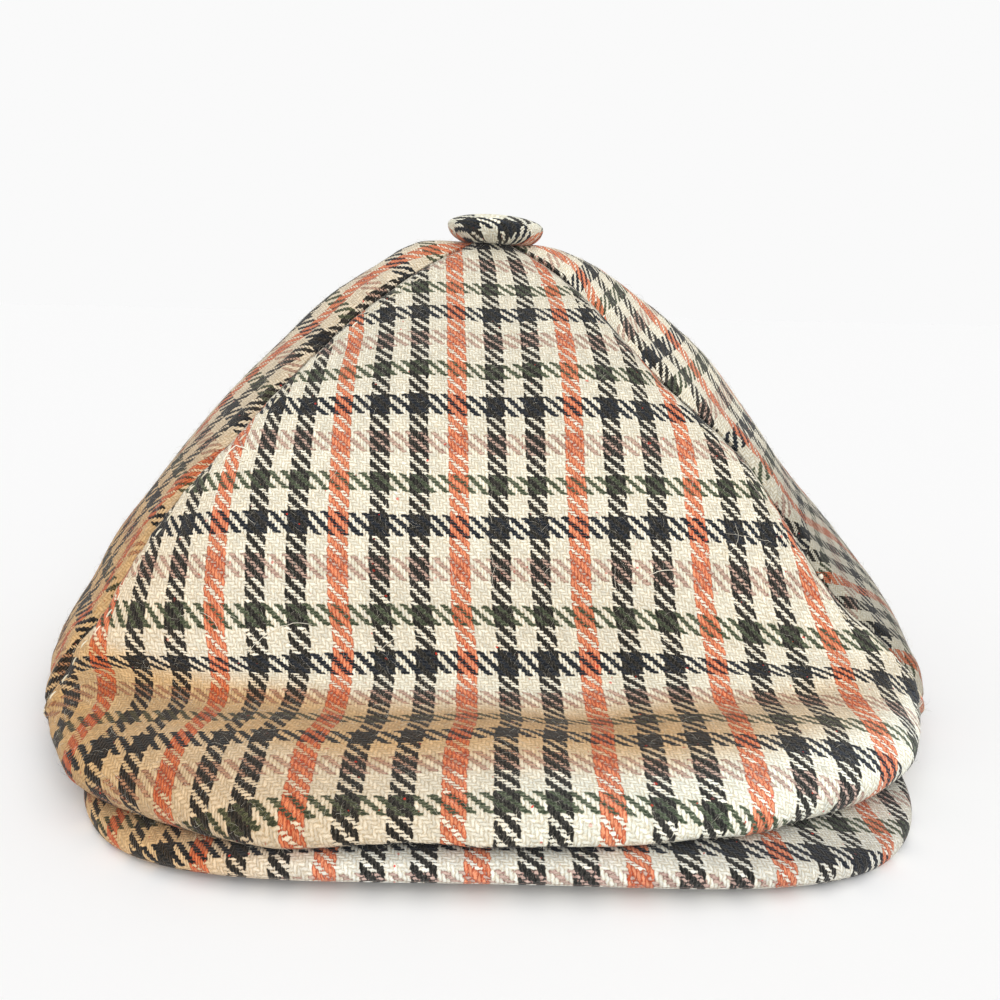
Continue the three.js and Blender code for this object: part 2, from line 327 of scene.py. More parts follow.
@dataclass(frozen=True)
class Tweed:
    """Woollen cloth in a 2/2 twill gun-club check, drawn thread by thread on the grain map."""

    name: str = "tweed"
    cream: Yarn = Yarn(srgb(241, 238, 222), srgb(216, 200, 168), 0.22)
    orange: Yarn = Yarn(srgb(238, 156, 114), srgb(188, 76, 44), 0.72)
    dark: Yarn = Yarn(srgb(20, 21, 18), srgb(72, 68, 62), 0.6)
    navy: Yarn = Yarn(srgb(17, 21, 27), srgb(58, 63, 70), 0.44)
    green: Yarn = Yarn(srgb(50, 58, 42), srgb(116, 124, 98), 0.24)
    mauve: Yarn = Yarn(srgb(206, 176, 158), srgb(124, 84, 74), 0.0)
    fleck: tuple = srgb(214, 60, 40)
    pale: tuple = srgb(252, 248, 236)
    twill: int = 4              # threads in one repeat of the twill
    wander: float = 1.1         # how far the threads stray from straight, in threads
    wander_scale: float = 0.07  # how fine that straying is
    fray: float = 0.85          # how ragged a thread's edge is
    fray_scale: float = 1.1
    lean: float = 0.25          # how far the ends of a float slant
    slant: float = 0.15         # how far a float lies askew over its length
    roundness: float = 1.0      # how far a thread's sides fall away
    slubs: float = 0.55         # how uneven a yarn's thickness is
    slub_apart: float = 7.3     # keeps one thread's slubs apart from the next one's
    slub_scale: float = 0.35    # how fine they are along the thread
    warp_lead: float = 0.06     # how much the warp covers the weft
    uneven: float = 0.8         # and how much that varies from place to place
    patch_scale: float = 0.9    # how fine those places are
    blend: float = 0.16         # how softly one yarn's fuzz covers the other
    relief: float = 0.16 * MM   # how far a float stands above its neighbours
    fibre_relief: float = 0.5   # and how far its fibres stand out, beside that
    fibre_across: float = 5.2   # how fine a float's fibres are across it
    fibre_along: float = 1.2    # and along it
    fibre_skew: float = 1.8     # how far they slant
    fibre_apart: float = 9.0    # keeps one float's fibres apart from the next one's
    other_share: tuple = (0.41, 0.74)       # between these the yarn's other fibre comes up
    other_fibre_and_gap_shade_level: float = 0.75    # below this height more of the yarn's other fibre shows: partly its heather, partly painted shade in the gaps between threads
    other_fibre_and_gap_shade_share: float = 0.22
    fuzz_scale: float = 2.6     # how fine the cloth's fuzz is
    height_shade: tuple = (0.19, 0.85)      # what each of these adds to a base shade: height, as painted shade in the gaps between threads,
    fibre_shade: tuple = (0.4, 0.8)         # fibre,
    float_shade: tuple = (0.26, 0.87)       # the float as a whole,
    fuzz_shade: tuple = (0.44, 0.78)        # and fuzz
    stray_scale: float = 2.3    # how fine the stray pale fibres are
    stray_rise: tuple = (0.64, 0.76)
    stray_share: float = 0.35
    nep_scale: float = 0.55     # how fine the bright neps are
    nep_rise: tuple = (0.81, 0.84)

    def material(self) -> bpy.types.Material:
        """Build the cloth's material."""
        bench = Bench(bpy.data.materials.new(self.name))
        place = bench.node("ShaderNodeUVMap", {"uv_map": WEAVE_MAP}).outputs[0]
        top = self._float(bench, place)
        fibre = bench.noise(top.grain, 1.0, 3.0)
        # low places between threads take more of the other fibre: partly heather, partly painted shade in
        # the gaps
        deep = fibre + (self.other_fibre_and_gap_shade_level - top.height) * self.other_fibre_and_gap_shade_share
        colour = bench.mix(deep.rise(*self.other_share), top.colour, top.other)
        colour = self._stray_fibres(colour, place, top)
        fuzz = bench.noise(place, self.fuzz_scale, 2.0)
        # height paints shade into the gaps between threads; fibre, float and fuzz vary the tone at random
        shade = top.height.shade(self.height_shade) * fibre.shade(self.fibre_shade)
        shade = shade * top.chance.shade(self.float_shade) * fuzz.shade(self.fuzz_shade)
        colour = bench.mix(1.0, colour, bench.grey(shade), "MULTIPLY")
        # painted light and shade from each point's attribute, multiplied into the colour
        tint = bench.node("ShaderNodeAttribute", {"attribute_name": PAINTED_LIGHT_MAP}).outputs["Color"]
        colour = bench.mix(1.0, colour, tint, "MULTIPLY")
        bump = bench.node("ShaderNodeBump", None, {"Strength": 0.8, "Distance": self.relief,
                                                   "Height": top.height + fibre * self.fibre_relief})
        return bench.finish(
            {"Roughness": 0.95, "Sheen Weight": 0.14, "Sheen Roughness": 0.5, "Specular IOR Level": 0.15},
            {"Base Color": colour, "Normal": bump.outputs[0]},
        )

    def _float(self, bench: Bench, place: Socket) -> Float:
        """Work out which thread lies on top, and how.

        Args:
            bench: The material's bench.
            place: The grain map.

        Returns:
            The float at each point.
        """
        strayed = self._shift(bench, place, self.wander_scale, self.wander)
        strayed = self._shift(bench, strayed, self.fray_scale, self.fray)
        parts = bench.node("ShaderNodeSeparateXYZ", None, {0: strayed}).outputs
        across, down = Wire(bench, parts[0]), Wire(bench, parts[1])
        warp, weft = across.floor(), down.floor()
        in_warp = (across - warp) * 2 - 1
        in_weft = (down - weft) * 2 - 1
        step = (warp - weft).wrap(self.twill)
        warp_run = ((down - weft) - step + 2 - in_warp * self.lean).wrap(self.twill) - 2
        weft_run = ((across - warp) + step - 1 - in_weft * self.lean).wrap(self.twill) - 2
        warp_high = self._height(in_warp, warp_run) + self._slub(warp, down)
        weft_high = self._height(in_weft, weft_run) + self._slub(weft + WEFT_DRAW, across)
        across_stripes = (self.orange, self.cream, self.dark, self.cream, self.dark, self.cream)
        down_stripes = (self.navy, self.cream, self.mauve, self.cream, self.green, self.cream)
        warp_yarn, warp_other, warp_bulk = self._stripes(warp, WARP_THREADS, across_stripes)
        weft_yarn, weft_other, weft_bulk = self._stripes(weft, WEFT_THREADS, down_stripes)
        patchy = (bench.noise(place, self.patch_scale, 1.0) - 0.5) * self.uneven
        above = warp_high + (warp_bulk - weft_bulk + patchy + self.warp_lead) - weft_high
        up = above.over(0.0)
        seen = above.rise(-self.blend, self.blend)
        number = up.pick((weft - warp_run * 0.5), (warp - weft_run * 0.5)).floor()
        own = bench.node("ShaderNodeTexWhiteNoise", {"noise_dimensions": "3D"},
                         {"Vector": bench.vector(number, up.pick(warp, weft), up)})
        chance = Wire(bench, own.outputs[0])
        fine, long, skew = self.fibre_across, self.fibre_along, self.fibre_skew
        grain_x = across * up.pick(fine, long) + down * up.pick(skew, 0.0)
        grain_y = down * up.pick(long, fine) + across * up.pick(0.0, skew)
        return Float(up.pick(warp_high, weft_high), chance,
                     bench.vector(grain_x, grain_y, chance * self.fibre_apart),
                     bench.mix(seen, weft_yarn, warp_yarn), bench.mix(seen, weft_other, warp_other))

    def _height(self, lane: Wire, run: Wire) -> Wire:
        """Height of a thread: lane is -1 to 1 across it, run 0 at a float's middle and 2 below the next."""
        lane = lane - run * self.slant
        return (run * (math.pi / 2)).math("COSINE") * 0.5 + 0.5 - lane * lane * self.roundness

    def _slub(self, thread: Wire, along: Wire) -> Wire:
        """How much height a thread gains at a place along it, being thicker or thinner there."""
        place = thread.bench.vector(thread * self.slub_apart, along * self.slub_scale)
        return (thread.bench.noise(place, 1.0, 1.0) - 0.5) * self.slubs

    def _shift(self, bench: Bench, place: Socket, scale: float,
               reach: float) -> Socket:
        """Move the grain map about by a noise.

        Args:
            bench: The material's bench.
            place: The map.
            scale: How fine the noise is, for each thread.
            reach: How far it moves the map, in threads.

        Returns:
            The moved map.
        """
        cloud = bench.noise(place, scale, 1.5, 1)
        centred = bench.node("ShaderNodeVectorMath", {"operation": "SUBTRACT"},
                             {0: cloud, 1: (0.5, 0.5, 0.5)}).outputs[0]
        return bench.node("ShaderNodeVectorMath", {"operation": "MULTIPLY_ADD"},
                          {0: centred, 1: (reach, reach, 0.0), 2: place}).outputs[0]

    def _stripes(self, thread: Wire, repeat: int, yarns: tuple[Yarn, ...]) -> tuple[Socket, Socket, Wire]:
        """Colour a set of threads in stripes of equal width.

        Args:
            thread: The thread's number.
            repeat: How many threads there are in a repeat.
            yarns: The yarn of each stripe of a repeat.

        Returns:
            The colours of the thread's two kinds of fibre, and its bulk.
        """
        share = (thread.wrap(repeat) + 0.5) / repeat
        ramps = []
        for kind in ("colour", "other"):
            stops = [(number / STRIPES, (*getattr(yarn, kind)[:3], yarn.bulk))
                     for number, yarn in enumerate(yarns)]
            ramps.append(thread.bench.node("ShaderNodeValToRGB", {"stops": stops}, {0: share}))
        return ramps[0].outputs[0], ramps[1].outputs[0], Wire(thread.bench, ramps[0].outputs[1])

    def _stray_fibres(self, colour: Socket, place: Socket, top: Float) -> Socket:
        """Blend stray fibres and bright neps into a yarn.

        Args:
            colour: The yarn's own colour.
            place: The grain map.
            top: The float on top.

        Returns:
            The blended colour.
        """
        bench = top.chance.bench
        light = bench.noise(top.grain, self.stray_scale, 2.0).rise(*self.stray_rise)
        colour = bench.mix(light * self.stray_share, colour, self.pale)
        nep = bench.noise(place, self.nep_scale, 0.0).rise(*self.nep_rise)
        return bench.mix(nep * top.chance, colour, self.fleck)


@dataclass(frozen=True)
class PlainWeave:
    """A plain woven cloth in one colour, on the grain map."""

    name: str
    colour: tuple
    rib: float = 1.0            # ribs in each thread of the grain map
    depth: float = 0.12 * MM
    fibre_scale: float = 2.1    # how fine its fibres are
    rib_shade: tuple = (0.4, 0.65)          # what a rib's height adds to a base shade: painted shade between the ribs
    fibre_shade: tuple = (0.7, 0.65)        # and what its fibres add
    fibre_relief: float = 0.4

    def material(self) -> bpy.types.Material:
        """Build the cloth's material."""
        bench = Bench(bpy.data.materials.new(self.name))
        place = bench.node("ShaderNodeUVMap", {"uv_map": WEAVE_MAP}).outputs[0]
        parts = bench.node("ShaderNodeSeparateXYZ", None, {0: place})
        across = Wire(bench, parts.outputs[0]) * self.rib
        down = Wire(bench, parts.outputs[1]) * self.rib
        odd = (across.floor() + down.floor()).wrap(2)
        lane = odd.pick(across - across.floor(), down - down.floor()) * 2 - 1
        height = 1 - lane * lane
        fibre = bench.noise(place, self.fibre_scale, 3.0)
        shade = height.shade(self.rib_shade) * fibre.shade(self.fibre_shade)
        colour = bench.mix(1.0, self.colour, bench.grey(shade), "MULTIPLY")
        bump = bench.node("ShaderNodeBump", None, {"Strength": 0.7, "Distance": self.depth,
                                                   "Height": height + fibre * self.fibre_relief})
        return bench.finish({"Roughness": 0.9, "Sheen Weight": 0.1},
                            {"Base Color": colour, "Normal": bump.outputs[0]})


@dataclass(frozen=True)
class Fibre:
    """Loose wool fibres or sewing thread, in a few tones by piece of fibre."""

    name: str
    light: tuple
    dark: tuple
    twist: float = 900.0        # turns of the thread for each metre
    twist_shade: tuple = (0.5, 0.75)

    def material(self) -> bpy.types.Material:
        """Build the fibre's material."""
        bench = Bench(bpy.data.materials.new(self.name))
        tone = Wire(bench, bench.node("ShaderNodeAttribute", {"attribute_name": TONE_MAP}).outputs["Fac"])
        place = bench.node("ShaderNodeTexCoord").outputs["Object"]
        speck = bench.noise(place, self.twist, 2.0)
        colour = bench.mix(tone, self.light, self.dark)
        colour = bench.mix(1.0, colour, bench.grey(speck.shade(self.twist_shade)), "MULTIPLY")
        return bench.finish({"Roughness": 0.7, "Sheen Weight": 0.2}, {"Base Color": colour})


@dataclass(frozen=True)
class Studio:
    """The plain white surface that the cap lies on."""

    name: str = "studio_white"
    white: tuple = (0.94, 0.94, 0.94, 1.0)
    speck: tuple = (0.9, 0.9, 0.9, 1.0)
    speck_scale: float = 40.0
    speck_share: float = 0.01

    def material(self) -> bpy.types.Material:
        """Build the floor's material."""
        bench = Bench(bpy.data.materials.new(self.name))
        place = bench.node("ShaderNodeTexCoord").outputs["Object"]
        specks = bench.noise(place, self.speck_scale, 2.0)
        colour = bench.mix(specks * self.speck_share, self.white, self.speck)
        return bench.finish({"Roughness": 1.0, "Specular IOR Level": 0.0}, {"Base Color": colour})


class Finishes:
    """Every material of the cap, made once."""

    def __init__(self) -> None:
        """Build the materials."""
        self.tweed = Tweed().material()
        self.backing = PlainWeave("backing", srgb(196, 184, 158)).material()
        self.band = PlainWeave("band_cloth", srgb(44, 46, 50), rib=1.6).material()
        self.nap = Fibre("wool_nap", srgb(250, 243, 224), srgb(52, 50, 50)).material()
        self.thread = Fibre("sewing_thread", srgb(240, 232, 208), srgb(214, 204, 176)).material()
        self.floor = Studio().material()


# ---- mesh helpers ----


def deselect() -> None:
    """Clear the selection, so that an operator acts on one new piece only."""
    if bpy.context.object and bpy.context.object.mode != "OBJECT":
        bpy.ops.object.mode_set(mode="OBJECT")
    bpy.ops.object.select_all(action="DESELECT")


@contextmanager
def editing() -> Iterator[None]:
    """Edit the active object's mesh, with all of it selected."""
    bpy.ops.object.mode_set(mode="EDIT")
    bpy.ops.mesh.select_all(action="SELECT")
    yield
    bpy.ops.object.mode_set(mode="OBJECT")


def apply_modifier(thing: Thing, kind: str, **settings: float) -> None:
    """Add a modifier to the active object, set it up and apply it.

    Args:
        thing: The active object.
        kind: The modifier's type.
        settings: Its properties.
    """
    modifier = thing.modifiers.new(kind.lower(), kind)
    for name, value in settings.items():
        setattr(modifier, name, value)
    bpy.ops.object.modifier_apply(modifier=modifier.name)


def stretch(factors: tuple[float, float, float], centre: Vector) -> None:
    """Stretch the active object's mesh about a point, and make its place the origin."""
    with editing():
        bpy.ops.transform.resize(value=factors, center_override=centre)
    bpy.ops.object.transform_apply(location=True, rotation=True, scale=True)


def add_object(name: str, data: bpy.types.ID) -> Thing:
    """Put an object made from a mesh, light or camera into the scene."""
    thing = bpy.data.objects.new(name, data)
    bpy.context.scene.collection.objects.link(thing)
    return thing


def tell(thing: Thing) -> None:
    """Log a finished piece and its size."""
    log.info("%s: %d faces", thing.name, len(thing.data.polygons))


def grid_faces(columns: int, rows: int, start: int = 0, flip: bool = False) -> Array:
    """Quads of a grid whose points run down each column in turn, from one point's number on."""
    at = start + np.arange(columns)[:, None] * rows + np.arange(rows)[None, :]
    quads = np.stack([at[:-1, :-1], at[:-1, 1:], at[1:, 1:], at[1:, :-1]], -1).reshape(-1, 4)
    return quads[:, ::-1] if flip else quads


def make_mesh(name: str, points: Array, faces: Array, weave: Array, tint: Array) -> Thing:
    """Make a cloth piece from arrays.

    Args:
        name: The object's name.
        points: The points, in millimetres.
        faces: Quads, as point numbers.
        weave: The grain map of each point, in threads.
        tint: The painted light and shade of each point, as a colour.

    Returns:
        The object, at the origin.
    """
    mesh = bpy.data.meshes.new(name)
    mesh.from_pydata((points * MM).tolist(), [], faces.tolist())
    mesh.update()
    set_weave(mesh, weave)
    set_tint(mesh, tint)
    return add_object(name, mesh)


def set_weave(mesh: bpy.types.Mesh, weave: Array) -> None:
    """Write a grain map to a mesh, in place of any other map.

    Args:
        mesh: The mesh.
        weave: The threads across and down, for each point.
    """
    while mesh.uv_layers:
        mesh.uv_layers.remove(mesh.uv_layers[0])
    layer = mesh.uv_layers.new(name=WEAVE_MAP)
    corner = np.zeros(len(mesh.loops), int)
    mesh.loops.foreach_get("vertex_index", corner)
    layer.data.foreach_set("uv", weave[corner].astype(np.float32).ravel())


def set_tint(mesh: bpy.types.Mesh, tint: Array) -> None:
    """Write the painted light and shade of each point to a mesh, as a colour."""
    layer = mesh.attributes.new(PAINTED_LIGHT_MAP, "FLOAT_COLOR", "POINT")
    layer.data.foreach_set("color", np.column_stack([tint, np.ones(len(tint))]).astype(np.float32).ravel())


def painted_light_tint(warm: Array | float, grey: Array) -> Array:
    """Painted light and shade: a painted warm bounce where light comes off other cloth, painted grey shade
    where little comes.
    """
    kept = 1 - np.asarray(warm)[..., None] * (1 - np.array(WARM_LIGHT))
    return kept * (1 - GREY_LOSS * np.asarray(grey)[..., None])


def set_tone(mesh: bpy.types.Mesh, tone: Array) -> None:
    """Write a shade for each point to a mesh."""
    layer = mesh.attributes.new(TONE_MAP, "FLOAT", "POINT")
    layer.data.foreach_set("value", tone.astype(np.float32).ravel())


def mesh_points(thing: Thing) -> Array:
    """Points of a mesh object, in millimetres."""
    flat = np.zeros(len(thing.data.vertices) * 3)
    thing.data.vertices.foreach_get("co", flat)
    return flat.reshape(-1, 3) / MM


def move_points(thing: Thing, points: Array) -> None:
    """Move the points of a mesh object to new places, in millimetres."""
    thing.data.vertices.foreach_set("co", (points * MM).ravel())
    thing.data.update()


def unit(vectors: Array) -> Array:
    """Vectors with their directions kept and a length of 1."""
    return vectors / np.maximum(np.linalg.norm(vectors, axis=-1, keepdims=True), 1e-9)


def points_at(where: Array | float, run: Array, points: Array) -> Array:
    """Points at some running lengths of a line of points."""
    return np.stack([np.interp(where, run, points[:, axis]) for axis in range(3)], -1)


def lengths(points: Array, axis: int) -> Array:
    """Running length along one axis of a grid of points, from its start to each point."""
    steps = np.linalg.norm(np.diff(points, axis=axis), axis=-1)
    start = np.zeros_like(np.take(steps, [0], axis=axis))
    return np.concatenate([start, np.cumsum(steps, axis=axis)], axis=axis)


# ---- the crown's form ----


@dataclass(frozen=True)
class Section:
    """The crown's profile in one upright plane through its axis.

    azimuth is in degrees from the front; reach is how far out and height how high each named line
    of the crown lies there: top, shoulder, upper, middle, lower, knee, foot, shelf, brow, roll, lip.
    """

    azimuth: float
    reach: tuple[float, ...]
    height: tuple[float, ...]


SECTIONS = (
    Section(0, (6, 24, 44, 54, 66, 75, 86, 104, 122, 134, 139),
            (123.4, 106, 84, 65, 42, 19, 14, 14.5, 16, 15, 11)),
    Section(20, (6, 25, 47, 58, 71, 80, 92, 110, 127, 138, 142),
            (123.4, 107, 86, 66, 42, 20, 15, 15, 15.5, 14, 10)),
    Section(38, (6, 28, 53, 70, 86, 99, 108, 120, 132, 139, 141),
            (123.4, 108, 87, 66, 44, 24, 17, 16, 15, 12.5, 9)),
    Section(55, (6, 30, 57, 80, 100, 116, 124, 128.5, 131, 132, 131.5),
            (123.4, 111, 91, 72, 50, 31, 23, 17, 13, 10, 8)),
    Section(80, (6, 31, 59, 79, 98, 115, 121, 124, 125, 124.5, 123.5),
            (123.4, 117, 98, 77, 54, 33, 24, 16, 12, 9, 7.5)),
    Section(108, (6, 31, 60, 82, 100, 116, 121, 124, 124.5, 124, 123),
            (123.4, 118, 100, 79, 56, 35, 25, 17, 12, 9, 7.5)),
    Section(142, (6, 31, 62, 84, 102, 117, 122, 124, 124.5, 124, 123),
            (123.4, 119, 102, 81, 58, 37, 27, 18, 12, 9, 7.5)),
    Section(180, (6, 32, 62, 87, 106, 119.5, 124.5, 126.2, 126.4, 126, 125),
            (123.4, 119, 103, 83, 61, 39, 28, 18, 12, 9, 7.5)),
)


@dataclass(frozen=True)
class Ease:
    """A spot where the soft cloth stands off the plain sections, or sinks from them."""

    spot: tuple[float, float, float]
    spread: tuple[float, float, float]
    push: tuple[float, float, float]


EASES = (
    Ease((-20, 10, 120), (13, 14, 9), (0, 0, 2.8)),       # the flat top, wider on the left
    Ease((15, 10, 121), (9, 12, 8), (0, 0, 1.4)),
    Ease((93, -10, 60), (40, 45, 16), (-3.2, 0, 0)),      # the hollow in the right side
    Ease((-116, -30, 26), (30, 50, 9), (2.8, 0, 0)),
    Ease((-63, 3, 96), (20, 30, 10), (2.0, 0, 0)),
    Ease((0, -80, 13), (85, 10, 7), (0, 0, -1.2)),        # the crease behind the roll over the peak
    Ease((0, -104, 15), (85, 12, 8), (0, 0, 1.6)),        # and the roll itself, which stands higher
)


@dataclass(frozen=True)
class Seam:
    """A seam of the crown: its place, and how it wanders from there on its way down."""

    place: float
    rows: tuple[float, ...] = (0.0, 11.0)
    shift: tuple[float, ...] = (0.0, 0.0)

    def at(self, rows: Array, turn: int = 0) -> Array:
        """Places of the seam at some rows, plus a turn where the panel counts on round the crown."""
        return self.place + turn + soft_curve(rows, self.rows, self.shift, steps=200, window=25)


LEFT_SEAM = Seam(-3, (0.0, 1.2, 1.9, 2.7, 3.1, 3.8, 4.6, 5.2, 11.0),
                 (0.0, -0.2, -0.26, 0.0, 0.03, -0.17, -0.06, 0.0, 0.0))
RIGHT_SEAM = Seam(3, (0.0, 0.9, 1.4, 2.3, 3.2, 3.6, 4.2, 4.7, 5.4, 11.0),
                  (0.2, 0.1, -0.22, -0.2, -0.02, 0.0, -0.12, -0.12, 0.0, 0.0))
BACK_RIGHT_SEAM = Seam(5)
BACK_SEAM = Seam(7)
BACK_LEFT_SEAM = Seam(9)


@dataclass
class CrownForm:
    """The outer surface of the crown, found from its sections.

    A place counts sections once round the crown from the front. A row counts the named lines down
    from the top, and then four more along the underside to the head band.
    """

    foot_line: int = 6                   # the shelf over the peak starts below this line
    shelf_shift: float = 2.3             # the shelf lies this much to one side
    shelf_skew: float = 0.03             # and runs this much further forward for each mm across
    shelf_azimuth: float = 60.0
    band_half_width: float = 88.0
    band_half_length: float = 94.0
    band_centre_y: float = 31.0
    gap: float = 0.3
    tuck: float = 3.5                    # the underside starts this far behind the lip
    underside: tuple = (0.0, 0.2, 0.6, 1.0)
    underside_height: float = 5.1        # above the table, away from the peak's arch
    arch: float = 3.5
    arch_half_width: float = 75.0
    net: Array = field(init=False)

    def __post_init__(self) -> None:
        """Lay out the net of section points: lines, then places round the crown."""
        half = len(SECTIONS) - 1
        ring = [*SECTIONS, *reversed(SECTIONS[1:half])]
        lines = len(SECTIONS[0].reach)
        self.net = np.zeros((lines, len(ring), 3))
        for place, section in enumerate(ring):
            angle = math.radians(section.azimuth) * (-1 if place > half else 1)
            reach = np.array(section.reach, float)
            on_shelf = (np.arange(lines) > self.foot_line) & (section.azimuth < self.shelf_azimuth)
            x = reach * math.sin(angle)
            y = AXIS_Y - reach * math.cos(angle)
            self.net[:, place, 0] = x + self.shelf_shift * on_shelf
            self.net[:, place, 1] = y + self.shelf_skew * x * on_shelf
            self.net[:, place, 2] = section.height

    @staticmethod
    def weights(share: Array) -> Array:
        """Weights of four neighbouring points in a Catmull-Rom curve."""
        two = share * share
        three = two * share
        return np.stack([two - 0.5 * (share + three), 1 - 2.5 * two + 1.5 * three,
                         0.5 * share + 2 * two - 1.5 * three, 0.5 * (three - two)], -1)

    def _round(self, places: Array) -> Array:
        """Weights of the ring's sections at each place.

        Args:
            places: Places round the crown.

        Returns:
            One row of weights for each place.
        """
        count = self.net.shape[1]
        start = np.floor(places).astype(int)
        near = self.weights(places - start)
        weights = np.zeros((len(places), count))
        for step in range(4):
            np.add.at(weights, (np.arange(len(places)), (start - 1 + step) % count), near[:, step])
        return weights

    def _down(self, rows: Array, count: int) -> Array:
        """Weights of a profile's points at each row, its ends carried on straight.

        Args:
            rows: Rows down the profile.
            count: How many points the profile has.

        Returns:
            One row of weights for each row asked for.
        """
        start = np.clip(np.floor(rows).astype(int), 0, count - 2)
        near = self.weights(rows - start)
        padded = np.zeros((len(rows), count + 2))
        for step in range(4):
            np.add.at(padded, (np.arange(len(rows)), start + step), near[:, step])
        weights = padded[:, 1:-1].copy()
        weights[:, 0] += 2 * padded[:, 0]
        weights[:, 1] -= padded[:, 0]
        weights[:, -1] += 2 * padded[:, -1]
        weights[:, -2] -= padded[:, -1]
        return weights

    def arch_height(self, x: Array, y: Array) -> Array:
        """How much the peak's underside stands above the table."""
        side = np.minimum(1.0, np.abs(x) / self.arch_half_width)
        return np.where(y < AXIS_Y, self.arch * (1 - side ** 2), 0.0)

    def band_reach(self, sine: Array, cosine: Array) -> Array:
        """How far from the crown's axis the panels' sewn edge lies, along a direction in plan."""
        half_x = self.band_half_width + self.gap
        half_y = self.band_half_length + self.gap
        off = AXIS_Y - self.band_centre_y
        square = (sine / half_x) ** 2 + (cosine / half_y) ** 2
        linear = -2 * off * cosine / half_y ** 2
        rest = (off / half_y) ** 2 - 1
        return (-linear + np.sqrt(linear ** 2 - 4 * square * rest)) / (2 * square)

    def grid(self, places: Array, rows: Array) -> Array:
        """Points of the surface.

        Args:
            places: Places round the crown.
            rows: Rows down it.

        Returns:
            A point for each place and row, in millimetres.
        """
        lines = np.einsum("cs,lsk->clk", self._round(places), self.net)
        lip = lines[:, -1]
        reach = np.hypot(lip[:, 0], lip[:, 1] - AXIS_Y)
        sine = lip[:, 0] / reach
        cosine = (AXIS_Y - lip[:, 1]) / reach
        edge = self.band_reach(sine, cosine)
        under = []
        for share in self.underside:
            out = reach - self.tuck + (edge - reach + self.tuck) * share
            x = out * sine
            y = AXIS_Y - out * cosine
            under.append(np.stack([x, y, self.underside_height + self.arch_height(x, y)], -1))
        profile = np.concatenate([lines, np.stack(under, 1)], 1)
        points = np.einsum("rl,clk->crk", self._down(rows, profile.shape[1]), profile)
        for ease in EASES:
            away = ((points - np.array(ease.spot)) / np.array(ease.spread)) ** 2
            points = points + np.exp(-away.sum(-1))[..., None] * np.array(ease.push)
        return points

    def last_row(self) -> int:
        """The row of the panels' edge at the head band."""
        return self.net.shape[0] + len(self.underside) - 1


# ---- the grain of each panel ----


def warp_at(repeats: Array) -> Array:
    """Thread numbers across the cloth, some repeats away from the middle of an orange stripe."""
    return (repeats + 0.5 / STRIPES) * WARP_THREADS


def weft_at(repeats: Array) -> Array:
    """Thread numbers down the cloth, some repeats away from the middle of a navy stripe."""
    return (repeats + 0.5 / STRIPES) * WEFT_THREADS


class Grain(Enum):
    """How a panel is cut from the cloth."""

    FRONT = "straight, its stripes running from the button over the peak"
    RIGHT = "stripes along its front seam, bowing away from it lower down"
    LEFT = "stripes along its own middle, leaving its front seam one after another"
    CENTRE = "stripes along its own middle"


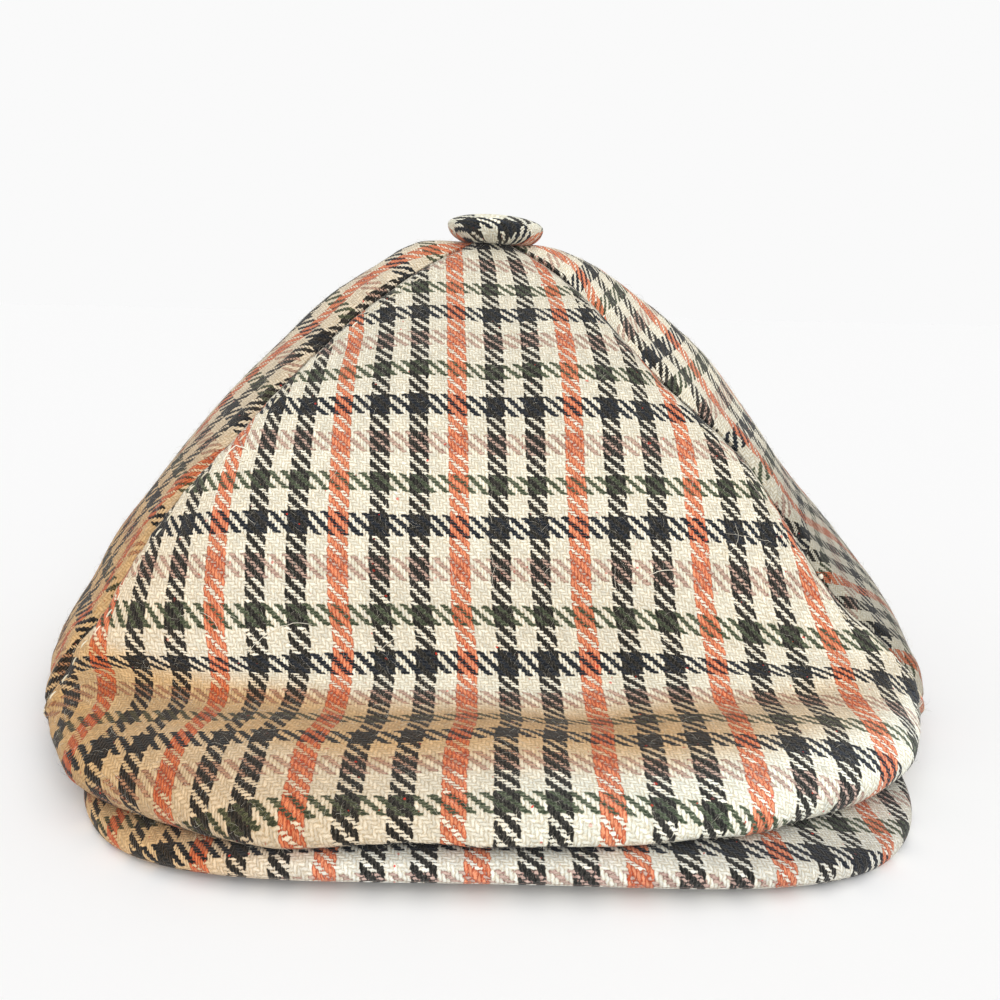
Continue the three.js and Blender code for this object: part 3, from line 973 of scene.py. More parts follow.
@dataclass
class GrainMap:
    """Works out which threads cross at each point of a panel."""

    form: CrownForm
    stripe_x: float = -11.0             # where an orange stripe leaves the button, on the front
    drift: float = 0.036                # how it slants away from there, for each mm down
    drift_end: float = 118.0
    return_x: float = 0.6               # how far it comes back over the lip
    return_span: tuple = (150, 190)
    row_start: float = 20.0             # where a green row lies, down the front's middle
    row_repeat: float = 29.5            # a repeat there
    row_growth: float = 0.8             # and how each one grows
    corner_x: float = -47.0             # the front's one lower corner is drawn in past this
    corner_pull: float = 0.24
    corner_span: tuple = (118, 150)
    lip_pull: float = 0.03              # how the stripes close up over the lip
    lip_span: tuple = (165, 192)
    step: float = 1.7                   # how far they step aside where the cloth turns to the shelf
    step_span: tuple = (110, 128)
    step_back: tuple = (150, 170)
    left_sag: float = 3.3               # how far the rows sag below their line at the two sides
    left_sag_x: tuple = (-20, -65)
    left_sag_span: tuple = (112, 130)
    right_sag: float = 5.5
    right_sag_x: tuple = (25, 95)
    right_sag_span: tuple = (85, 125)
    seam_pull: float = 6.5              # the stripes draw together beside the seams, where the
    seam_reach: float = 6.0             # cloth turns away
    seam_start: tuple = (15, 45)
    seam_end: tuple = (110, 135)
    wrap_row: float = 8.7               # from here the cloth turns over the lip without a stretch
    wrap_back: int = 6                  # the rows that it takes its course from
    centre_stripe: float = 1 / 3        # which part of the check lies down a back panel's middle
    left_stripe: float = 13.5           # how far an orange stripe lies from the left side's middle
    left_row: float = 0.25              # which part of the check lies at its top
    left_down: tuple = (0, 30, 52, 75, 95, 112, 128, 138, 148, 165, 200)    # down the left side
    left_shift: tuple = (-9, -8, 0.5, -2, -2, -6.5, -5, -1, 3, 5, 5)        # what is added to that
    right_down: tuple = (20, 46, 66, 87, 115, 136, 162, 200)                # down the right side
    right_shift: tuple = (-0.3, 0.17, 0.25, 0.85, 0.75, -0.13, -1.05, -1.6)     # the same, in repeats
    right_calm: tuple = (0.45, -0.008)  # the straight course that the stripes tend to, away from
    calm_window: int = 121              # the front seam, and how softly their own is followed there
    calm_share: float = 0.9
    calm_span: tuple = (12, 105)
    right_tight: float = 0.3            # how the right side's stripes crowd together at its top
    tight_span: tuple = (108, 66)
    right_row: float = 58.5             # where a navy row meets the front seam
    bow: float = 0.9                    # how its rows bow down from there
    bow_span: tuple = (100, 130)
    reach: float = 30.0                 # how far that seam draws the threads aside

    def front(self, points: Array, rows: Array) -> Array:
        """Grain map of the front panel.

        Args:
            points: The panel's points, by column and row.
            rows: Where its rows lie.

        Returns:
            Threads across and down at each point.
        """
        arc = self._middle_arc(points)
        x = points[..., 0]
        base = self.stripe_x + self.drift * np.minimum(arc, self.drift_end)
        base -= self.return_x * smoothstep(*self.return_span, arc)
        base += self.step * smoothstep(*self.step_span, arc) * (1 - smoothstep(*self.step_back, arc))
        x = x + self.corner_pull * np.minimum(0, x - self.corner_x) * smoothstep(*self.corner_span, arc)
        x = x * (1 + self.lip_pull * smoothstep(*self.lip_span, arc))
        upper = self.seam_pull * (1 - smoothstep(*self.seam_end, arc))
        x = x + upper * np.exp((points[..., 0] - points[-1:, :, 0]) / self.seam_reach)
        upper = upper * smoothstep(*self.seam_start, arc)
        x = x - upper * np.exp((points[:1, :, 0] - points[..., 0]) / self.seam_reach)
        across = warp_at((x - base) / WARP_REPEAT)
        sides = ((self.right_sag, self.right_sag_x, self.right_sag_span),
                 (self.left_sag, self.left_sag_x, self.left_sag_span))
        for sag, aside, span in sides:
            arc = arc - sag * smoothstep(*aside, points[..., 0]) * smoothstep(*span, arc)
        slope = self.row_repeat / (2 * self.row_growth)
        ahead = np.maximum(arc - self.row_start, -self.row_repeat) / self.row_growth
        count = np.sqrt(np.maximum(slope ** 2 + ahead, 0)) - slope
        down = weft_at(count - NAVY_TO_GREEN)
        weave = np.stack([across, down], -1)
        turn = int(np.searchsorted(rows, self.wrap_row))
        before = turn - self.wrap_back
        run = lengths(points, 1)
        rate = (weave[:, turn] - weave[:, before]) / (run[:, turn] - run[:, before])[:, None]
        ahead = run[:, turn:] - run[:, turn:turn + 1]
        weave[:, turn:] = weave[:, turn:turn + 1] + rate[:, None] * ahead[..., None]
        return weave

    def _middle_arc(self, points: Array) -> Array:
        """Length down the crown's middle profile to the place nearest each point, seen from the side.

        Args:
            points: Points by column and row.

        Returns:
            The length for each point.
        """
        rows = np.linspace(0, self.form.last_row(), 1200)
        middle = self.form.grid(np.array([0.0]), rows)[0]
        run = lengths(middle, 0)
        flat = points.reshape(-1, 3)[:, 1:]
        best = np.zeros(len(flat), int)
        for start in range(0, len(flat), 4000):
            part = flat[start:start + 4000]
            gap = ((part[:, None, :] - middle[None, :, 1:]) ** 2).sum(-1)
            best[start:start + 4000] = gap.argmin(1)
        return run[best].reshape(points.shape[:2])

    def gore(self, points: Array, grain: Grain, front_last: bool) -> Array:
        """Grain map of a side or back panel.

        Args:
            points: The panel's points, by column and row.
            grain: How it is cut.
            front_last: Whether its last column is the one at its front seam.

        Returns:
            Threads across and down at each point.
        """
        across = lengths(points, 0)
        width = across[-1:]
        if front_last:
            across = width - across
        down = lengths(points, 1)
        middle = down[len(down) // 2][None, :]
        down = 0.5 * (down + middle)
        if grain is Grain.CENTRE:
            turns = (across - width / 2) / WARP_REPEAT + self.centre_stripe
            return np.stack([warp_at(turns), weft_at(down / WEFT_REPEAT)], -1)
        if grain is Grain.LEFT:
            shift = soft_curve(middle, self.left_down, self.left_shift)
            turns = (across - width / 2 + self.left_stripe + shift) / WARP_REPEAT
            return np.stack([warp_at(turns), weft_at(down / WEFT_REPEAT + self.left_row)], -1)
        shift = soft_curve(middle, self.right_down, self.right_shift)
        calm = 0.5 * (self.right_calm[0] + self.right_calm[1] * middle)
        calm = calm + 0.5 * soft_curve(middle, self.right_down, self.right_shift, window=self.calm_window)
        shift = shift + (calm - shift) * self.calm_share * smoothstep(*self.calm_span, across)
        drawn = self.reach * np.tanh(across / self.reach)
        crowded = across + drawn * self.right_tight * smoothstep(*self.tight_span, middle)
        turns = crowded / WARP_REPEAT + shift
        bowed = down + drawn * self.bow * smoothstep(*self.bow_span, middle)
        return np.stack([warp_at(turns), weft_at((self.right_row - bowed) / WEFT_REPEAT)], -1)


# ---- panels ----


@dataclass(frozen=True)
class PaintedLight:
    """Painted light and shade, multiplied into the cloth's colour: a painted warm bounce off other cloth,
    painted shade where other cloth keeps the light off, and painted highlights.

    Spans give where an effect starts and is full: in mm for x, y, z and for lengths, else in rows.
    """

    right_level: float = 1.02           # the right side's painted brightness at its top,
    right_dim: float = 0.4              # and how much painted shade darkens it below
    right_dim_z: tuple = (85, 42)
    right_colour: tuple = (1.0, 1.0, 0.99)
    valley: float = 0.15                # how much painted shade darkens its valley beside the front seam
    valley_place: tuple = (8, 15)       # where that lies, and how wide
    valley_z: tuple = (100, 60)
    left_y: tuple = (45, -30)           # the left side has painted warm bounce light towards the front
    left_warm: tuple = (0.4, 0.62)      # how much painted warm light at its top, and how much more at its foot
    left_z: tuple = (85, 40)
    left_grey: float = 0.2
    side_x: tuple = (8, 95)             # the front's painted warm light grows left of this, over so many mm,
    right_x: tuple = (30, 85)           # and cooler to the right
    trough: float = 5.6                 # the row where the painted shade of the trough over the peak starts,
    trough_rise: float = 1.0            # in how many rows it is full,
    trough_early: float = 0.45          # and how much earlier it starts on the left
    early_x: tuple = (-10, -60)
    trough_end: tuple = (7.3, 8.5)
    below: float = 1.12                 # how much painted warm light the cloth below the trough has, on the left
    low_rows: tuple = (6.6, 7.6)
    beside: float = 0.5                 # how much painted warm light it has beside the left seam
    beside_x: tuple = (-50, -105)
    beside_rows: tuple = (2.0, 4.8)
    crease: float = 0.3                 # how dark the painted shade in the crease behind the roll is
    crease_place: tuple = (6.75, 0.45)
    edge: float = 0.25                  # how dark the painted shade at a seam is
    edge_width: float = 2.2
    lip: float = 0.2                    # and at the lip
    lip_rows: tuple = (9.0, 9.9)
    corner: float = 0.2                 # and in the left lower corner
    corner_x: tuple = (-40, -90)
    cooler: tuple = (0.55, 0.4)         # what the right, and then its far end, take off the warmth
    far_x: tuple = (75, 105)
    roll_rows: tuple = (7.3, 8.3)       # the roll gets a painted highlight from the right
    roll_x: tuple = (-30, 60)
    roll_light: tuple = (0.2, 0.28, 0.36)
    top: float = 0.1                    # how much painted shade darkens the front towards the button
    top_rows: tuple = (3.4, 1.6)

    def right(self, across: Array, z: Array) -> Array:
        """Painted light and shade of the right side panel, from the distance to its front seam and the
        height.
        """
        valley = bell(across, *self.valley_place) * smoothstep(*self.valley_z, z)
        lit = self.right_level - self.right_dim * smoothstep(*self.right_dim_z, z)
        return (lit * (1 - self.valley * valley))[..., None] * np.array(self.right_colour)

    def left(self, y: Array, z: Array) -> Array:
        """Painted warm bounce light and shade of the left side panel, from each point's y and height."""
        front = smoothstep(*self.left_y, y)
        warm = self.left_warm[0] + self.left_warm[1] * smoothstep(*self.left_z, z)
        return painted_light_tint(front * warm, self.left_grey * front)

    def front(self, x: Array, rows: Array, from_seam: Array) -> Array:
        """Painted light and shade of the front panel: the painted warm bounce and shade are strongest in the
        trough over the peak, and on the left.

        Args:
            x: Where each point lies.
            rows: The row that each point lies in.
            from_seam: How far each point lies from the nearest seam.

        Returns:
            A colour for each point.
        """
        left = np.clip((self.side_x[0] - x) / self.side_x[1], 0, 1)
        right = smoothstep(*self.right_x, x)
        start = self.trough - self.trough_early * smoothstep(*self.early_x, x)
        trough = smoothstep(start, start + self.trough_rise, rows) * (1 - smoothstep(*self.trough_end, rows))
        low = smoothstep(*self.low_rows, rows)
        beside = self.beside * smoothstep(*self.beside_x, x) * smoothstep(*self.beside_rows, rows)
        cooler = self.cooler[0] * right + self.cooler[1] * smoothstep(*self.far_x, x)
        warm = np.maximum(trough * (1 - cooler), np.maximum(self.below * low * left, beside))
        crease = self.crease * bell(rows, *self.crease_place) * (1 - 0.5 * right)
        edge = self.edge * bell(from_seam, 0, self.edge_width)
        lip = self.lip * smoothstep(*self.lip_rows, rows)
        grey = np.maximum(crease, np.maximum(edge, lip)) + self.corner * low * smoothstep(*self.corner_x, x)
        roll = smoothstep(*self.roll_rows, rows) * smoothstep(*self.roll_x, x)
        light = 1 + roll[..., None] * np.array(self.roll_light)
        top = 1 - self.top * smoothstep(*self.top_rows, rows)
        return painted_light_tint(warm, grey) * light * top[..., None]


@dataclass(frozen=True)
class Ripple:
    """One family of soft waves in the cloth."""

    height: float      # mm
    length: float      # mm from crest to crest, about
    count: int = 7     # how many plane waves are added up


@dataclass
class Panel:
    """One sewn panel of the crown: a closed sheet with valleys along its seams."""

    name: str
    first: Seam
    last: Seam
    grain: Grain
    columns: int
    turn: int = 0                     # sections to add to the last seam's place
    rows: int = 215
    flat: tuple = (0.27, 0.24)
    area: float = 0.04
    seam_margin: float = 9.0          # the mesh is finest this near a seam
    margin_share: float = 0.34        # and this share of its columns lies there
    margin_power: float = 1.3         # how much closer together they lie at the seam itself
    margin_most: float = 0.3          # of a narrow row's width
    seam_fade: tuple = (6, 34)        # the seams' shaping fades out where the panel is this narrow
    valley: float = 0.9
    valley_width: float = 1.5
    allowance: float = 0.6            # the seam's allowance lifts the cloth beside it
    allowance_from: tuple = (0.6, 3.0)
    allowance_to: tuple = (6.0, 9.0)
    pucker: float = 0.26
    pucker_length: float = 7.5
    pucker_drift: float = 17.0        # how its spacing drifts along the seam
    pucker_width: float = 5.5
    pucker_from: tuple = (0.3, 1.5)
    wave_fade: tuple = (0, 40)        # the waves grow from the panel's point,
    wave_end: tuple = (9, 4)          # and die out between these heights
    ripples: tuple = (Ripple(0.55, 62), Ripple(0.16, 21), Ripple(0.05, 8))
    thing: Thing = field(init=False)
    outer: Array = field(init=False)  # its shaped surface, and the directions out of that
    normal: Array = field(init=False)
    across: Array = field(init=False)  # running lengths over the plain surface, across and down
    down: Array = field(init=False)

    def build(self, form: CrownForm, grains: GrainMap, rng: Random) -> Panel:
        """Make the panel's mesh.

        Args:
            form: The crown's surface.
            grains: The maker of grain maps.
            rng: Random numbers.

        Returns:
            The panel, with its object and outer surface.
        """
        rows = self._rows(form)
        base = self._lay(form, rows)
        normal = surface_normals(base)
        self.across = lengths(base, 0)
        self.down = lengths(base, 1)
        lift = self._seams(base) + self._waves(base, rng)
        self.outer = base + normal * lift[..., None]
        self.normal = surface_normals(self.outer)
        inner = self.outer - self.normal * CLOTH
        weave = self._follow(self._weave(grains, base, rows))
        count_c, count_r = base.shape[:2]
        total = count_c * count_r
        at = np.arange(total).reshape(count_c, count_r)
        faces = [grid_faces(count_c, count_r), grid_faces(count_c, count_r, total, flip=True)]
        for edge, flip in ((at[0], False), (at[-1], True), (at[:, 0], True), (at[:, -1], False)):
            faces.append(rim_faces(edge, edge + total, flip))
        points = np.concatenate([self.outer.reshape(-1, 3), inner.reshape(-1, 3)])
        both = np.concatenate([weave.reshape(-1, 2)] * 2)
        # painted light and shade, on the outer surface only
        tint = np.ones((len(points), 3))
        tint[:total] = self._tint(base, rows).reshape(-1, 3)
        self.thing = make_mesh(self.name, points, np.concatenate(faces), both, tint)
        inner_from, inner_to = len(faces[0]), len(faces[0]) + len(faces[1])
        slots = np.zeros(sum(len(part) for part in faces), int)
        slots[inner_from:inner_to] = 1
        self.thing.data.materials.append(None)
        self.thing.data.materials.append(None)
        self.thing.data.polygons.foreach_set("material_index", slots)
        smooth = np.ones(len(slots), bool)
        smooth[inner_to:] = False
        self.thing.data.polygons.foreach_set("use_smooth", smooth)
        return self

    def _lay(self, form: CrownForm, rows: Array) -> Array:
        """Lay the panel's columns between its seams, closer together beside them.

        Args:
            form: The crown's surface.
            rows: The panel's rows.

        Returns:
            The plain surface, by column and row.
        """
        first = self.first.at(rows)
        last = self.last.at(rows, self.turn)
        probe = np.linspace(first.min() - 0.05, last.max() + 0.05, 900)
        fine = form.grid(probe, rows)
        run = lengths(fine, 0)
        edge = int(self.columns * self.margin_share / 2)
        near = np.linspace(0, 1, edge + 1) ** self.margin_power
        inner = np.linspace(0, 1, self.columns - 2 * edge)[1:-1]
        base = np.zeros((self.columns, len(rows), 3))
        for row in range(len(rows)):
            start = np.interp(first[row], probe, run[:, row]) + form.gap / 2
            end = np.interp(last[row], probe, run[:, row]) - form.gap / 2
            margin = min(self.seam_margin, self.margin_most * (end - start))
            middle = start + margin + (end - start - 2 * margin) * inner
            wanted = np.concatenate([start + margin * near, middle, (end - margin * near)[::-1]])
            base[:, row] = points_at(wanted, run[:, row], fine[:, row])
        return base

    def _rows(self, form: CrownForm) -> Array:
        """Rows at equal steps down the panel's middle."""
        probe = np.linspace(0, form.last_row(), 900)
        middle = form.grid(np.array([(self.first.place + self.last.place + self.turn) / 2]), probe)
        run = lengths(middle, 1)[0]
        return np.interp(np.linspace(0, run[-1], self.rows), run, probe)

    def _follow(self, weave: Array) -> Array:
        """Let the grain follow the cloth into its valleys, without a stretch.

        Args:
            weave: The grain map of the plain surface.

        Returns:
            The grain map of the shaped one.
        """
        extra = lengths(self.outer, 0) - self.across
        extra = extra - extra[len(extra) // 2]
        rate = np.gradient(weave, axis=0) / np.maximum(np.gradient(self.across, axis=0), 1e-6)[..., None]
        return weave + rate * extra[..., None]

    def _seams(self, base: Array) -> Array:
        """Lift of the cloth near the panel's two seams.

        Args:
            base: The plain surface.

        Returns:
            The lift at each point, in millimetres.
        """
        width = self.across[-1:]
        fade = smoothstep(*self.seam_fade, width)
        drift = 2 * np.sin(self.down / self.pucker_drift)
        wave = self.pucker * np.sin(2 * np.pi * self.down / self.pucker_length + drift)
        lift = np.zeros(base.shape[:2])
        for distance in (self.across, width - self.across):
            dip = self.valley * bell(distance, 0, self.valley_width)
            raised = smoothstep(*self.allowance_from, distance)
            raised = raised * (1 - smoothstep(*self.allowance_to, distance))
            crimp = wave * bell(distance, 0, self.pucker_width) * smoothstep(*self.pucker_from, distance)
            lift += fade * (self.allowance * raised - dip + crimp)
        return lift

    def _waves(self, base: Array, rng: Random) -> Array:
        """Soft waves all over the panel, fading out at its point and under its lip.

        Args:
            base: The plain surface.
            rng: Random numbers.

        Returns:
            The lift at each point, in millimetres.
        """
        lift = np.zeros(base.shape[:2])
        middle = self.across - self.across[-1:] / 2
        for ripple in self.ripples:
            for _ in range(ripple.count):
                turn = rng.uniform(0, math.pi)
                phase = rng.uniform(0, 2 * math.pi)
                wave_length = ripple.length * rng.uniform(0.7, 1.4)
                run = middle * math.cos(turn) + self.down * math.sin(turn)
                wave = np.sin(2 * math.pi * run / wave_length + phase)
                lift += ripple.height / math.sqrt(ripple.count) * wave
        fade = smoothstep(*self.wave_fade, self.down) * (1 - smoothstep(*self.wave_end, base[..., 2]))
        return lift * fade

    def _weave(self, grains: GrainMap, base: Array, rows: Array) -> Array:
        """Grain map of the panel's points."""
        if self.grain is Grain.FRONT:
            return grains.front(base, rows)
        return grains.gore(base, self.grain, front_last=self.turn > 0 or self.first.place > 6)

    def _tint(self, base: Array, rows: Array) -> Array:
        """Painted light and shade of each point.

        Args:
            base: The plain surface.
            rows: The panel's rows.

        Returns:
            A colour for each point.
        """
        if self.grain is Grain.RIGHT:
            return PaintedLight().right(self.across, base[..., 2])
        if self.grain is Grain.LEFT:
            return PaintedLight().left(base[..., 1], base[..., 2])
        if self.grain is Grain.FRONT:
            from_seam = np.minimum(self.across, self.across[-1:] - self.across)
            return PaintedLight().front(base[..., 0], rows[None, :], from_seam)
        return np.ones(base.shape)

    def seam_line(self, inset: float, at_last: bool) -> tuple[Array, Array]:
        """A line on the panel at a fixed distance from one of its seams.

        Args:
            inset: The distance, in millimetres.
            at_last: Whether the seam is at the panel's last column.

        Returns:
            The line's points, and the direction out of the cloth at each.
        """
        across = self.across[-1:] - self.across if at_last else self.across
        points = []
        normals = []
        for row in range(across.shape[1]):
            order = np.argsort(across[:, row])
            where = across[order, row]
            points.append(points_at(inset, where, self.outer[order, row]))
            normals.append(points_at(inset, where, self.normal[order, row]))
        return np.array(points), np.array(normals)

    def dress(self, finishes: Finishes, extras: list[Thing]) -> None:
        """Give the panel its materials, attach it, hide its frame part and log it.

        Args:
            finishes: The cap's materials.
            extras: Separate pieces sewn to it; not used.
        """
        self.thing.data.materials[0] = finishes.tweed
        self.thing.data.materials[1] = finishes.backing
        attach(self.thing, BODY)
        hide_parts(self.name)
        tell(self.thing)


def rim_faces(outer: Array, inner: Array, flip: bool) -> Array:
    """Quads that close the rim between the point numbers along a sheet's two edges."""
    quads = np.stack([outer[:-1], inner[:-1], inner[1:], outer[1:]], -1)
    return quads[:, ::-1] if flip else quads


def surface_normals(points: Array) -> Array:
    """Directions out of a grid of points.

    Args:
        points: The points, by column and row.

    Returns:
        A unit vector for each point.
    """
    down = np.gradient(points, axis=1)
    along = np.gradient(points, axis=0)
    return unit(np.cross(down, along))


# ---- loose fibres and stitches ----


def tubes(name: str, paths: Array, radii: Array, sides: int, tone: Array) -> Thing:
    """Make many thin closed tubes as one mesh.

    Args:
        name: The object's name.
        paths: The tubes' points: tube, step, axis, in millimetres.
        radii: The radius at each tube and step.
        sides: How many sides a tube has.
        tone: A shade for each tube.

    Returns:
        The object.
    """
    count, steps = paths.shape[:2]
    run = unit(np.gradient(paths, axis=1))
    helper = np.where(np.abs(run[:, :1, 2:3]) < 0.9, np.array([0.0, 0.0, 1.0]), np.array([1.0, 0.0, 0.0]))
    side = unit(np.cross(run, helper))
    up = np.cross(side, run)
    angles = 2 * np.pi * np.arange(sides) / sides
    ring = (side[:, :, None] * np.cos(angles)[:, None] + up[:, :, None] * np.sin(angles)[:, None])
    points = paths[:, :, None] + ring * radii[:, :, None, None]
    at = np.arange(count * steps * sides).reshape(count, steps, sides)
    turn = np.roll(at, -1, axis=2)
    walls = np.stack([at[:, :-1], turn[:, :-1], turn[:, 1:], at[:, 1:]], -1).reshape(-1, 4)
    mesh = bpy.data.meshes.new(name)
    faces = walls.tolist()
    faces += at[:, 0, ::-1].reshape(-1, sides).tolist()
    faces += at[:, -1].reshape(-1, sides).tolist()
    mesh.from_pydata((points.reshape(-1, 3) * MM).tolist(), [], faces)
    mesh.polygons.foreach_set("use_smooth", np.ones(len(mesh.polygons), bool))
    set_tone(mesh, np.repeat(tone, steps * sides))
    return add_object(name, mesh)


@dataclass
class Topstitch:
    """A row of stitches beside a seam."""

    name: str
    inset: float = 4.5
    stitch: float = 2.3
    pitch: float = 4.6
    radius: float = 0.21
    start: float = 16.0
    end: float = 0.8            # of the seam's length
    jitter: float = 0.15
    rise: tuple = (0.95, 0.3)   # how a stitch arches, and how deep its ends lie, in radii
    taper: tuple = (0.55, 0.45)
    vary: tuple = (0.85, 1.1)
    sides: int = 6
    steps: int = 7

    def build(self, panel: Panel, at_last: bool, rng: Random) -> Thing:
        """Lay the stitches on a panel.

        Args:
            panel: The panel.
            at_last: Whether they run beside its last column.
            rng: Random numbers.

        Returns:
            The stitches, as one object.
        """
        line, normal = panel.seam_line(self.inset, at_last)
        run = lengths(line, 0)
        end = run[int(len(run) * self.end)]
        starts = np.arange(self.start, end, self.pitch)
        starts = starts + rng.uniform(-self.jitter, self.jitter, len(starts))
        share = np.linspace(0, 1, self.steps)
        where = starts[:, None] + self.stitch * share[None, :]
        place = points_at(where, run, line)
        out = points_at(where, run, normal)
        arch = np.sin(np.pi * share) ** 0.5
        paths = place + out * (self.radius * (self.rise[0] * arch - self.rise[1]))[None, :, None]
        taper = self.taper[0] + self.taper[1] * arch
        radii = self.radius * taper[None, :] * rng.uniform(*self.vary, (len(starts), 1))
        return tubes(self.name, paths, radii, self.sides, rng.uniform(0, 1, len(starts)))


@dataclass
class Nap:
    """Short fibres that stand off the cloth, pale and dark."""

    name: str
    count: int
    length: tuple = (0.8, 3.0)
    radius: float = 0.02
    steps: int = 4
    sides: int = 3
    lowest: float = 8.0             # none stand on the cloth below this height
    stand: float = 0.55             # how steeply they stand, at most
    stand_power: float = 1.5
    bow: float = 2.2                # how far a fibre bends over: its angle, from root to tip
    curl: float = 0.28
    reach: float = 0.9
    sunk: float = 0.05
    taper: float = 0.6
    vary: tuple = (0.7, 1.3)
    dark_share: float = 0.25
    dark: tuple = (0.6, 1.0)        # tones
    light: tuple = (0.0, 0.3)

    def build(self, panels: list[Panel], rng: Random) -> Thing:
        """Scatter the fibres over panels.

        Args:
            panels: The panels that carry them.
            rng: Random numbers.

        Returns:
            The fibres, as one object.
        """
        roots = []
        outs = []
        sizes = np.array([cell_areas(panel.outer).sum() for panel in panels])
        for panel, share in zip(panels, sizes / sizes.sum()):
            wanted = int(self.count * share)
            cells = cell_areas(panel.outer)
            visible = cells * (panel.outer[:-1, :-1, 2] > self.lowest)
            chance = visible.ravel() / visible.sum()
            chosen = rng.choice(len(chance), wanted, p=chance)
            column, row = np.unravel_index(chosen, cells.shape)
            mix_c = rng.uniform(0, 1, (wanted, 1))
            mix_r = rng.uniform(0, 1, (wanted, 1))
            here = panel.outer[column, row] * (1 - mix_c) + panel.outer[column + 1, row] * mix_c
            below = panel.outer[column, row + 1] * (1 - mix_c) + panel.outer[column + 1, row + 1] * mix_c
            roots.append(here * (1 - mix_r) + below * mix_r)
            outs.append(panel.normal[column, row])
        root = np.concatenate(roots)
        out = np.concatenate(outs)
        count = len(root)
        wild = rng.normal(size=(count, 3))
        lie = unit(wild - out * (wild * out).sum(-1, keepdims=True))
        side = np.cross(out, lie)
        size = rng.uniform(*self.length, count)
        stand = self.stand * rng.uniform(0.1, 1.0, count) ** self.stand_power
        curl = rng.normal(0, self.curl, count)
        share = np.linspace(0, 1, self.steps)
        reach = size[:, None] * share
        height = (size * stand)[:, None] * np.sin(share * self.bow)
        sway = (size * curl)[:, None] * share ** 2
        paths = (root[:, None] + lie[:, None] * reach[..., None] * self.reach
                 + out[:, None] * (height[..., None] - self.sunk) + side[:, None] * sway[..., None])
        radii = self.radius * (1 - self.taper * share)[None, :] * rng.uniform(*self.vary, (count, 1))
        tone = np.where(rng.uniform(size=count) < self.dark_share, rng.uniform(*self.dark, count),
                        rng.uniform(*self.light, count))
        return tubes(self.name, paths, radii, self.sides, tone)


@dataclass
class Lint:
    """Long hairs, a loop of loose thread and a bead of wool that lie on the front panel.

    Each is given by the places that it passes, as x and height in millimetres.
    """

    name: str = "lint"
    hair: tuple = ((37.4, 38.8), (40.5, 40.6), (44.5, 41.6), (50.5, 40.6))
    loop: tuple = ((-68.6, 64.4), (-67.0, 67.0), (-64.2, 68.4), (-61.6, 67.2), (-62.4, 65.0), (-65.6, 65.2))
    low_hair: tuple = ((-27.0, 21.0), (-23.0, 24.0), (-17.0, 24.6), (-12.0, 21.5))
    left_hair: tuple = ((-58.0, 22.0), (-54.0, 26.0), (-48.0, 28.5), (-43.0, 28.0))
    bead: tuple = ((87.2, 40.6), (87.6, 40.9), (88.0, 41.0), (88.6, 40.8))
    hair_radius: float = 0.1
    loop_radius: float = 0.17
    bead_radius: float = 0.75
    thin: float = 0.8           # a thin hair's share of that radius
    taper: tuple = (0.08, 0.92)
    strays: int = 26            # short hairs, strewn between these bounds of x and height
    stray_x: tuple = (-75, 75)
    stray_z: tuple = (22, 62)
    stray_length: tuple = (5.0, 13.0)
    stray_bend: float = 0.5
    stray_thin: float = 0.45
    tones: tuple = (0.0, 0.12)
    lift: tuple = (0.6, 0.12)   # how high they lie: in radii, and beside that
    steps: int = 14
    sides: int = 6

    def build(self, panel: Panel, rng: Random) -> Thing:
        """Lay them on the panel.

        Args:
            panel: The front panel.
            rng: Random numbers.

        Returns:
            All of them, as one object.
        """
        even = np.ones(self.steps)
        taper = np.sin(np.pi * np.linspace(*self.taper, self.steps)) ** 0.5
        thin = self.thin * self.hair_radius * taper
        laid = [(self.hair, self.hair_radius * taper), (self.loop, self.loop_radius * even),
                (self.low_hair, thin), (self.left_hair, thin), (self.bead, self.bead_radius * taper ** 2)]
        for _ in range(self.strays):
            start = np.array([rng.uniform(*self.stray_x), rng.uniform(*self.stray_z)])
            turn = rng.uniform(0, 2 * math.pi)
            bend = rng.normal(0, self.stray_bend)
            size = rng.uniform(*self.stray_length)
            places = [start]
            for _ in range(3):
                places.append(places[-1] + np.array([math.cos(turn), math.sin(turn)]) * size / 3)
                turn += bend
            laid.append((tuple(places), self.stray_thin * self.hair_radius * taper))
        paths = np.array([self._path(panel, np.array(places), radii) for places, radii in laid])
        radii = np.array([radii for _, radii in laid])
        return tubes(self.name, paths, radii, self.sides, np.linspace(*self.tones, len(laid)))

    def _path(self, panel: Panel, places: Array, radii: Array) -> Array:
        """Points of one hair on the cloth.

        Args:
            panel: The panel.
            places: The x and height of the places that it passes.
            radii: Its radius at each point.

        Returns:
            The points.
        """
        share = np.linspace(0, len(places) - 1, self.steps)
        last = len(places) - 1
        start = np.clip(np.floor(share).astype(int), 0, last - 1)
        padded = np.concatenate([2 * places[:1] - places[1:2], places, 2 * places[-1:] - places[-2:-1]])
        weights = CrownForm.weights(share - start)
        through = sum(weights[:, step, None] * padded[start + step] for step in range(4))
        facing = panel.normal[..., 1] < -0.1
        surface = panel.outer[facing]
        normal = panel.normal[facing]
        gap = ((surface[None][..., ::2] - through[:, None]) ** 2).sum(axis=-1)
        near = np.argsort(gap, axis=1)[:, :4]
        share = 1 / (np.take_along_axis(gap, near, axis=1) + 0.02)
        share /= share.sum(axis=1, keepdims=True)
        spot = (surface[near] * share[..., None]).sum(axis=1)
        out = (normal[near] * share[..., None]).sum(axis=1)
        return spot + out * (self.lift[0] * radii + self.lift[1])[:, None]


def cell_areas(points: Array) -> Array:
    """Area of each cell of a grid of points, about."""
    right = points[1:, :-1] - points[:-1, :-1]
    below = points[:-1, 1:] - points[:-1, :-1]
    return np.linalg.norm(np.cross(right, below), axis=-1)


